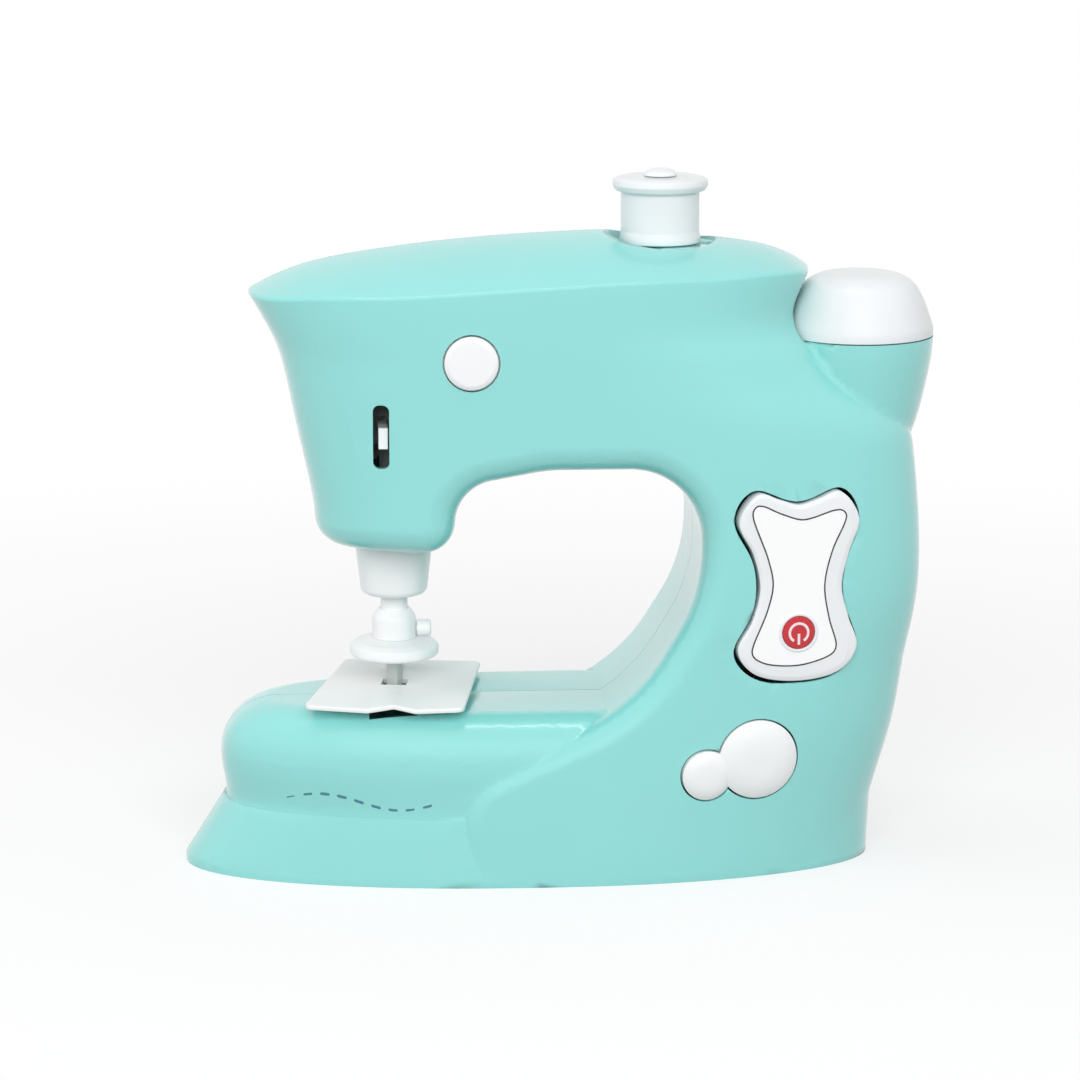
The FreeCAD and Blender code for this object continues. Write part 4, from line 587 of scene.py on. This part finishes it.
def make_power_button():
    """Red cap in a white ring, with a ring open at its foot and a bar as the printed sign."""
    cap = soften([
        (0, -9.6, 0), (2.0, -9.6, 0), (2.0, -7.1, 0), (7.5, -7.1, 0.2), (7.5, -5.9, 0.2), (5.5, -5.9, 0),
        (5.5, 2.45, 0.5), (3.0, 2.6, 4.0), (0, 2.6, 0)])
    piece("power_cap", *PANEL.facing(lathe(cap, 96), 0, POWER_DROP), RED, "power_button", ["power_button"],
          "red_abs")
    collar = soften([
        (POWER_BORE, 0.5, 0), (POWER_BORE, 2.3, 0.2), (6.2, 2.42, 0.3), (6.75, 2.2, 0.3), (6.9, 1.5, 0),
        (6.9, 0.5, 0), (POWER_BORE, 0.5, 0)])
    # The ring takes the panel's white, with the same painted shade.
    piece("power_ring", *PANEL.facing(lathe(collar[:-1], 96), 0, POWER_DROP), PANEL_WHITE_SHADED, "machine", (),
          "white_abs")
    stroke, seat, radius = 0.85, 2.3, 3.15
    angle = np.radians(np.linspace(-58, 238, 72))
    arc = np.stack([radius * np.cos(angle), radius * np.sin(angle) + POWER_DROP], -1)
    piece("power_sign_ring", *ribbon(arc, stroke, seat, SIGN_FACE, PANEL), PRINT_WHITE, "power_button", (),
          "white_abs")
    bar = np.stack([np.zeros(8), np.linspace(-4.0, -0.3, 8) + POWER_DROP], -1)
    piece("power_sign_bar", *ribbon(bar, stroke, seat, SIGN_FACE, PANEL), PRINT_WHITE, "power_button", (),
          "white_abs")


# Presser foot and needle peg

def rounded_loop(corners, count):
    """Closed line through (x, y, radius) corners with tangent arcs, sampled evenly round it."""
    corners = np.asarray(corners, float)
    line = soften(np.vstack([corners[-1:], corners, corners[:1]]), 10)[1:-1]
    line = np.vstack([line, line[:1]])
    chord = np.concatenate([[0], np.cumsum(np.linalg.norm(np.diff(line, axis=0), axis=1))])
    place = np.linspace(0, chord[-1], count, endpoint=False)
    return np.stack([np.interp(place, chord, line[:, i]) for i in (0, 1)], -1)


def square_loop(half, radius, count):
    """Rounded square about the origin."""
    return rounded_loop([(-half, -half, radius), (half, -half, radius), (half, half, radius),
                         (-half, half, radius)], count)


def make_foot():
    """Thin plate round a square hole: rows run from the hole out to the edge, over it and back below.
    Its height follows a fold at the middle of the front edge and a slight wave beside it."""
    count, across, corner = 320, 26, 2.5
    left, right, near, far, taper = -26.5, 26.5, -34.5, 31.5, 6.0
    edge = rounded_loop([(left, near, corner), (right, near, corner), (right, far, corner),
                         (left + taper, far, corner)], count)
    hole = square_loop(4.3, 0.5, count)
    share = np.concatenate([np.linspace(0, 0.985, across), [0.995, 1.0, 1.0, 0.995],
                            np.linspace(0.985, 0, across)])
    lift = np.concatenate([np.full(across, FOOT_THICK), [1.5, 1.15, 0.45, 0.1], np.zeros(across)])
    flat = hole + share[:, None, None] * (edge - hole)
    x, y = flat[..., 0], flat[..., 1]
    fold_end = -5.0
    fold = np.clip((fold_end - y) / (fold_end - near), 0, 1)
    wave = np.interp(x, [left, -5.5, 3.3, 10.5, right], [0.15, -0.85, 0.75, -0.8, 0.1])
    height = FOOT_LOW + lift[:, None] + fold * wave
    place = turned(flat, -7.5)
    points = np.stack([place[..., 0] + NEEDLE_X, place[..., 1], height], -1).reshape(-1, 3)
    piece("presser_foot_plate", points, [grid_faces(len(share), count, True, True)], FOOT_WHITE, "presser",
          ["presser_foot"], "white_abs")
    boss = soften([(0, 59.2, 0), (4.0, 59.2, 0), (4.0, 64.3, 0.6), (0, 64.3, 0)])
    piece("presser_foot_boss", *upright(lathe(boss, 48), NEEDLE_X, PRESSER_Y), FOOT_WHITE, "presser", (),
          "white_abs")


def make_peg():
    """Blunt square peg, turned about the needle's axis: a rounded square carried up, drawn in at the tip."""
    count = 96
    loop = turned(square_loop(2.1, 0.4, count), -31)
    height = np.array([57.8, 57.9, 58.3, 64.0, 70.0, 75.9])
    size = np.array([0.9, 0.97, 1.0, 1.0, 1.0, 1.0])
    flat = loop * size[:, None, None]
    tall = np.broadcast_to(height[:, None], flat.shape[:2])
    points = np.stack([flat[..., 0] + NEEDLE_X, flat[..., 1], tall], -1).reshape(-1, 3)
    ring = np.arange(count)
    ends = np.stack([ring[::-1], ring + (len(height) - 1) * count])
    # The peg's grey is partly painted shade of the hollow that it stands in.
    piece("needle_peg", points, [grid_faces(len(height), count, False, True), ends], PEG_GREY_AND_SHADE, "needle",
          ["needle"], "grey_abs")


# Printed stitches in the bare place on the front of the bed

def bed_front():
    """Front of the bed as a cubic in x and z, fitted to the front shell's corners that face forward there."""
    mesh = frame["nodes"]["front_shell"].data
    corner, facing = (np.empty(3 * len(mesh.vertices)) for _ in range(2))
    mesh.vertices.foreach_get("co", corner)
    mesh.vertices.foreach_get("normal", facing)
    x, y, z = corner.reshape(-1, 3).T / MM

    def shares(x, z):
        return (x - BED_SPOT[0]) / BED_REACH[0], (z - BED_SPOT[1]) / BED_REACH[1]

    def terms(x, z):
        x, z = shares(x, z)
        return np.stack([x ** i * z ** j for i in range(4) for j in range(4 - i)], -1)

    across, up = shares(x, z)
    near = (abs(across) < 1) & (abs(up) < 1) & (facing.reshape(-1, 3)[:, 1] < -0.6)
    factors = np.linalg.lstsq(terms(x[near], z[near]), y[near], rcond=None)[0]
    return lambda x, z: terms(x, z) @ factors


def make_stitches():
    """Row of short dashes along a shallow wave, each a rounded bar that lies on the face of the bed."""
    dashes, steps, around = 9, 12, 16
    long, half, thick, sink = 3.4, 0.55, 0.22, 0.05
    wave_height, wave_length = 2.4, 50.0
    start = np.linspace(STITCH_LEFT, STITCH_RIGHT, dashes)
    along = start[:, None] + np.linspace(0, long, steps)
    rise = BED_SPOT[1] + wave_height * np.sin((along - STITCH_LEFT) / wave_length * 2 * math.pi)
    slim = np.sqrt(np.clip(1 - np.linspace(-1, 1, steps) ** 8, 0.02, 1))
    angle = np.linspace(0, 2 * math.pi, around, endpoint=False)
    z = rise[..., None] + half * slim[:, None] * np.sin(angle)
    x = np.broadcast_to(along[..., None], z.shape)
    y = bed_front()(x, z) + sink - thick * slim[:, None] * np.cos(angle)
    points = np.stack([x, y, z], -1).reshape(-1, 3)
    block = grid_faces(steps, around, False, True)
    ring = np.arange(around)
    caps = np.stack([ring[::-1], ring + (steps - 1) * around])
    shift = (np.arange(dashes) * steps * around)[:, None, None]
    sides, ends = (block[None] + shift).reshape(-1, 4), (caps[None] + shift).reshape(-1, around)
    piece("printed_stitches", points, [sides, ends], STITCH, "machine", (), "black_plastic")


# Shells, which keep the form of their solids

def merged(name, node, body, material):
    """Copy of a CAD node with its loose triangles joined, so that the gloss runs smoothly over it."""
    mesh = frame["nodes"][node].data.copy()
    mesh.name = name
    mesh.materials.clear()
    mesh.materials.append(material)
    item = in_scene(name, mesh)
    work_in(item, "WELD", merge_threshold=0.01 * MM)
    smooth(mesh, SHELL_CREASE)
    gloss = item.modifiers.new("even_gloss", "WEIGHTED_NORMAL")
    gloss.keep_sharp = True
    gloss.weight = 80
    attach(item, body)
    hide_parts(node)


# Stage

# Lengths in metres, and strengths of light where 1 is white
FLOOR_REACH = 8.0
FLOOR_FADE = (0.2, 0.75)
FLOOR_GLOW = 0.61
WORLD_LIGHT = 0.51
WHITE_LIGHT = 1.0


def seen_rays(tree):
    """Share of a ray that shows the surround: from the camera, off a gloss or through a clear piece."""
    path = add(tree, "ShaderNodeLightPath")
    two = add(tree, "ShaderNodeMath", {0: path.outputs["Is Camera Ray"], 1: path.outputs["Is Glossy Ray"]},
              operation="MAXIMUM")
    return add(tree, "ShaderNodeMath", {0: two.outputs[0], 1: path.outputs["Is Transmission Ray"]},
               operation="MAXIMUM").outputs[0]


def floor_material():
    """Pale matt floor that keeps the machine's shadow near it and fades into the white surround."""
    material, tree, output = blank("studio_floor_white")
    seen = seen_rays(tree)
    place = add(tree, "ShaderNodeTexCoord").outputs["Object"]
    far = add(tree, "ShaderNodeVectorMath", {0: place}, operation="LENGTH")
    fade = add(tree, "ShaderNodeMapRange", {
        "Value": far.outputs["Value"], "From Min": FLOOR_FADE[0], "From Max": FLOOR_FADE[1]},
        interpolation_type="SMOOTHSTEP")
    lit = add(tree, "ShaderNodeBsdfDiffuse", {"Color": linear("#A8A8A8")})
    glow = add(tree, "ShaderNodeEmission", {"Strength": FLOOR_GLOW})
    near = add(tree, "ShaderNodeAddShader", {0: lit.outputs[0], 1: glow.outputs[0]})
    clear = add(tree, "ShaderNodeEmission", {"Strength": WHITE_LIGHT})
    blend = add(tree, "ShaderNodeMixShader", {
        0: fade.outputs["Result"], 1: near.outputs[0], 2: clear.outputs[0]})
    mix = add(tree, "ShaderNodeMixShader", {0: seen, 1: lit.outputs[0], 2: blend.outputs[0]})
    tree.links.new(mix.outputs[0], output.inputs["Surface"])
    return material


def make_floor():
    """Flat square under the machine."""
    mesh = bpy.data.meshes.new("floor")
    corners = [(-FLOOR_REACH, -FLOOR_REACH, 0), (FLOOR_REACH, -FLOOR_REACH, 0), (FLOOR_REACH, FLOOR_REACH, 0),
               (-FLOOR_REACH, FLOOR_REACH, 0)]
    mesh.from_pydata(corners, [], [(0, 1, 2, 3)])
    mesh.materials.append(floor_material())
    floor = in_scene("floor", mesh)


def make_surround():
    """White to the camera and in each gloss, dimmer as a light."""
    world = bpy.data.worlds.new("studio")
    bpy.context.scene.world = world
    world.use_nodes = True
    tree = world.node_tree
    tree.nodes.clear()
    dim = add(tree, "ShaderNodeBackground", {"Color": (1, 1, 1, 1), "Strength": WORLD_LIGHT})
    white = add(tree, "ShaderNodeBackground", {"Color": (1, 1, 1, 1), "Strength": WHITE_LIGHT})
    mix = add(tree, "ShaderNodeMixShader", {0: seen_rays(tree), 1: dim.outputs[0], 2: white.outputs[0]})
    add(tree, "ShaderNodeOutputWorld", {"Surface": mix.outputs[0]})


def aim(item, place, target):
    """Puts a lamp or a camera at a place and turns it to a target."""
    item.location = place
    item.rotation_mode = "QUATERNION"
    item.rotation_quaternion = (Vector(target) - Vector(place)).to_track_quat("-Z", "Y")


def soft_box(name, place, wide, tall, power, mirrored):
    """Soft lamp aimed at the machine, which shows in the gloss only if it is mirrored."""
    lamp = bpy.data.lights.new(name, "AREA")
    lamp.shape = "RECTANGLE"
    lamp.size, lamp.size_y, lamp.energy = wide, tall, power
    item = in_scene(name, lamp)
    aim(item, place, (0, 0, 0.1))
    item.visible_glossy = mirrored


def make_camera():
    """Camera at the place from which the photograph was taken."""
    camera = in_scene("camera", bpy.data.cameras.new("camera"))
    camera.data.sensor_width = 36.0
    camera.data.lens = 133.3
    aim(camera, (-0.08815, -1.31204, 0.38800), (-0.0056, 0.0, 0.10856))
    bpy.context.scene.camera = camera


def make_stage():
    """Pale floor, white surround, soft light from above, the front and the left, and the camera."""
    bpy.context.scene.view_settings.view_transform = "Standard"
    make_floor()
    make_surround()
    soft_box("overhead_strip", (-0.1, -0.3, 1.4), 0.8, 0.15, 1.6, True)
    soft_box("front_box", (0.0, -2.0, 1.15), 2.0, 1.2, 34.0, False)
    soft_box("left_box", (-1.8, 0.25, 0.62), 1.0, 0.8, 7.0, False)
    make_camera()


make_stage()
paint_nodes()
merged("front_body_shell", "front_shell", "machine", MINT)
merged("rear_body_shell", "rear_shell", "machine", MINT)
make_spool()
make_hand_wheel()
make_needle()
make_buttons()
make_panel()
make_power_button()
make_foot()
make_peg()
make_stitches()
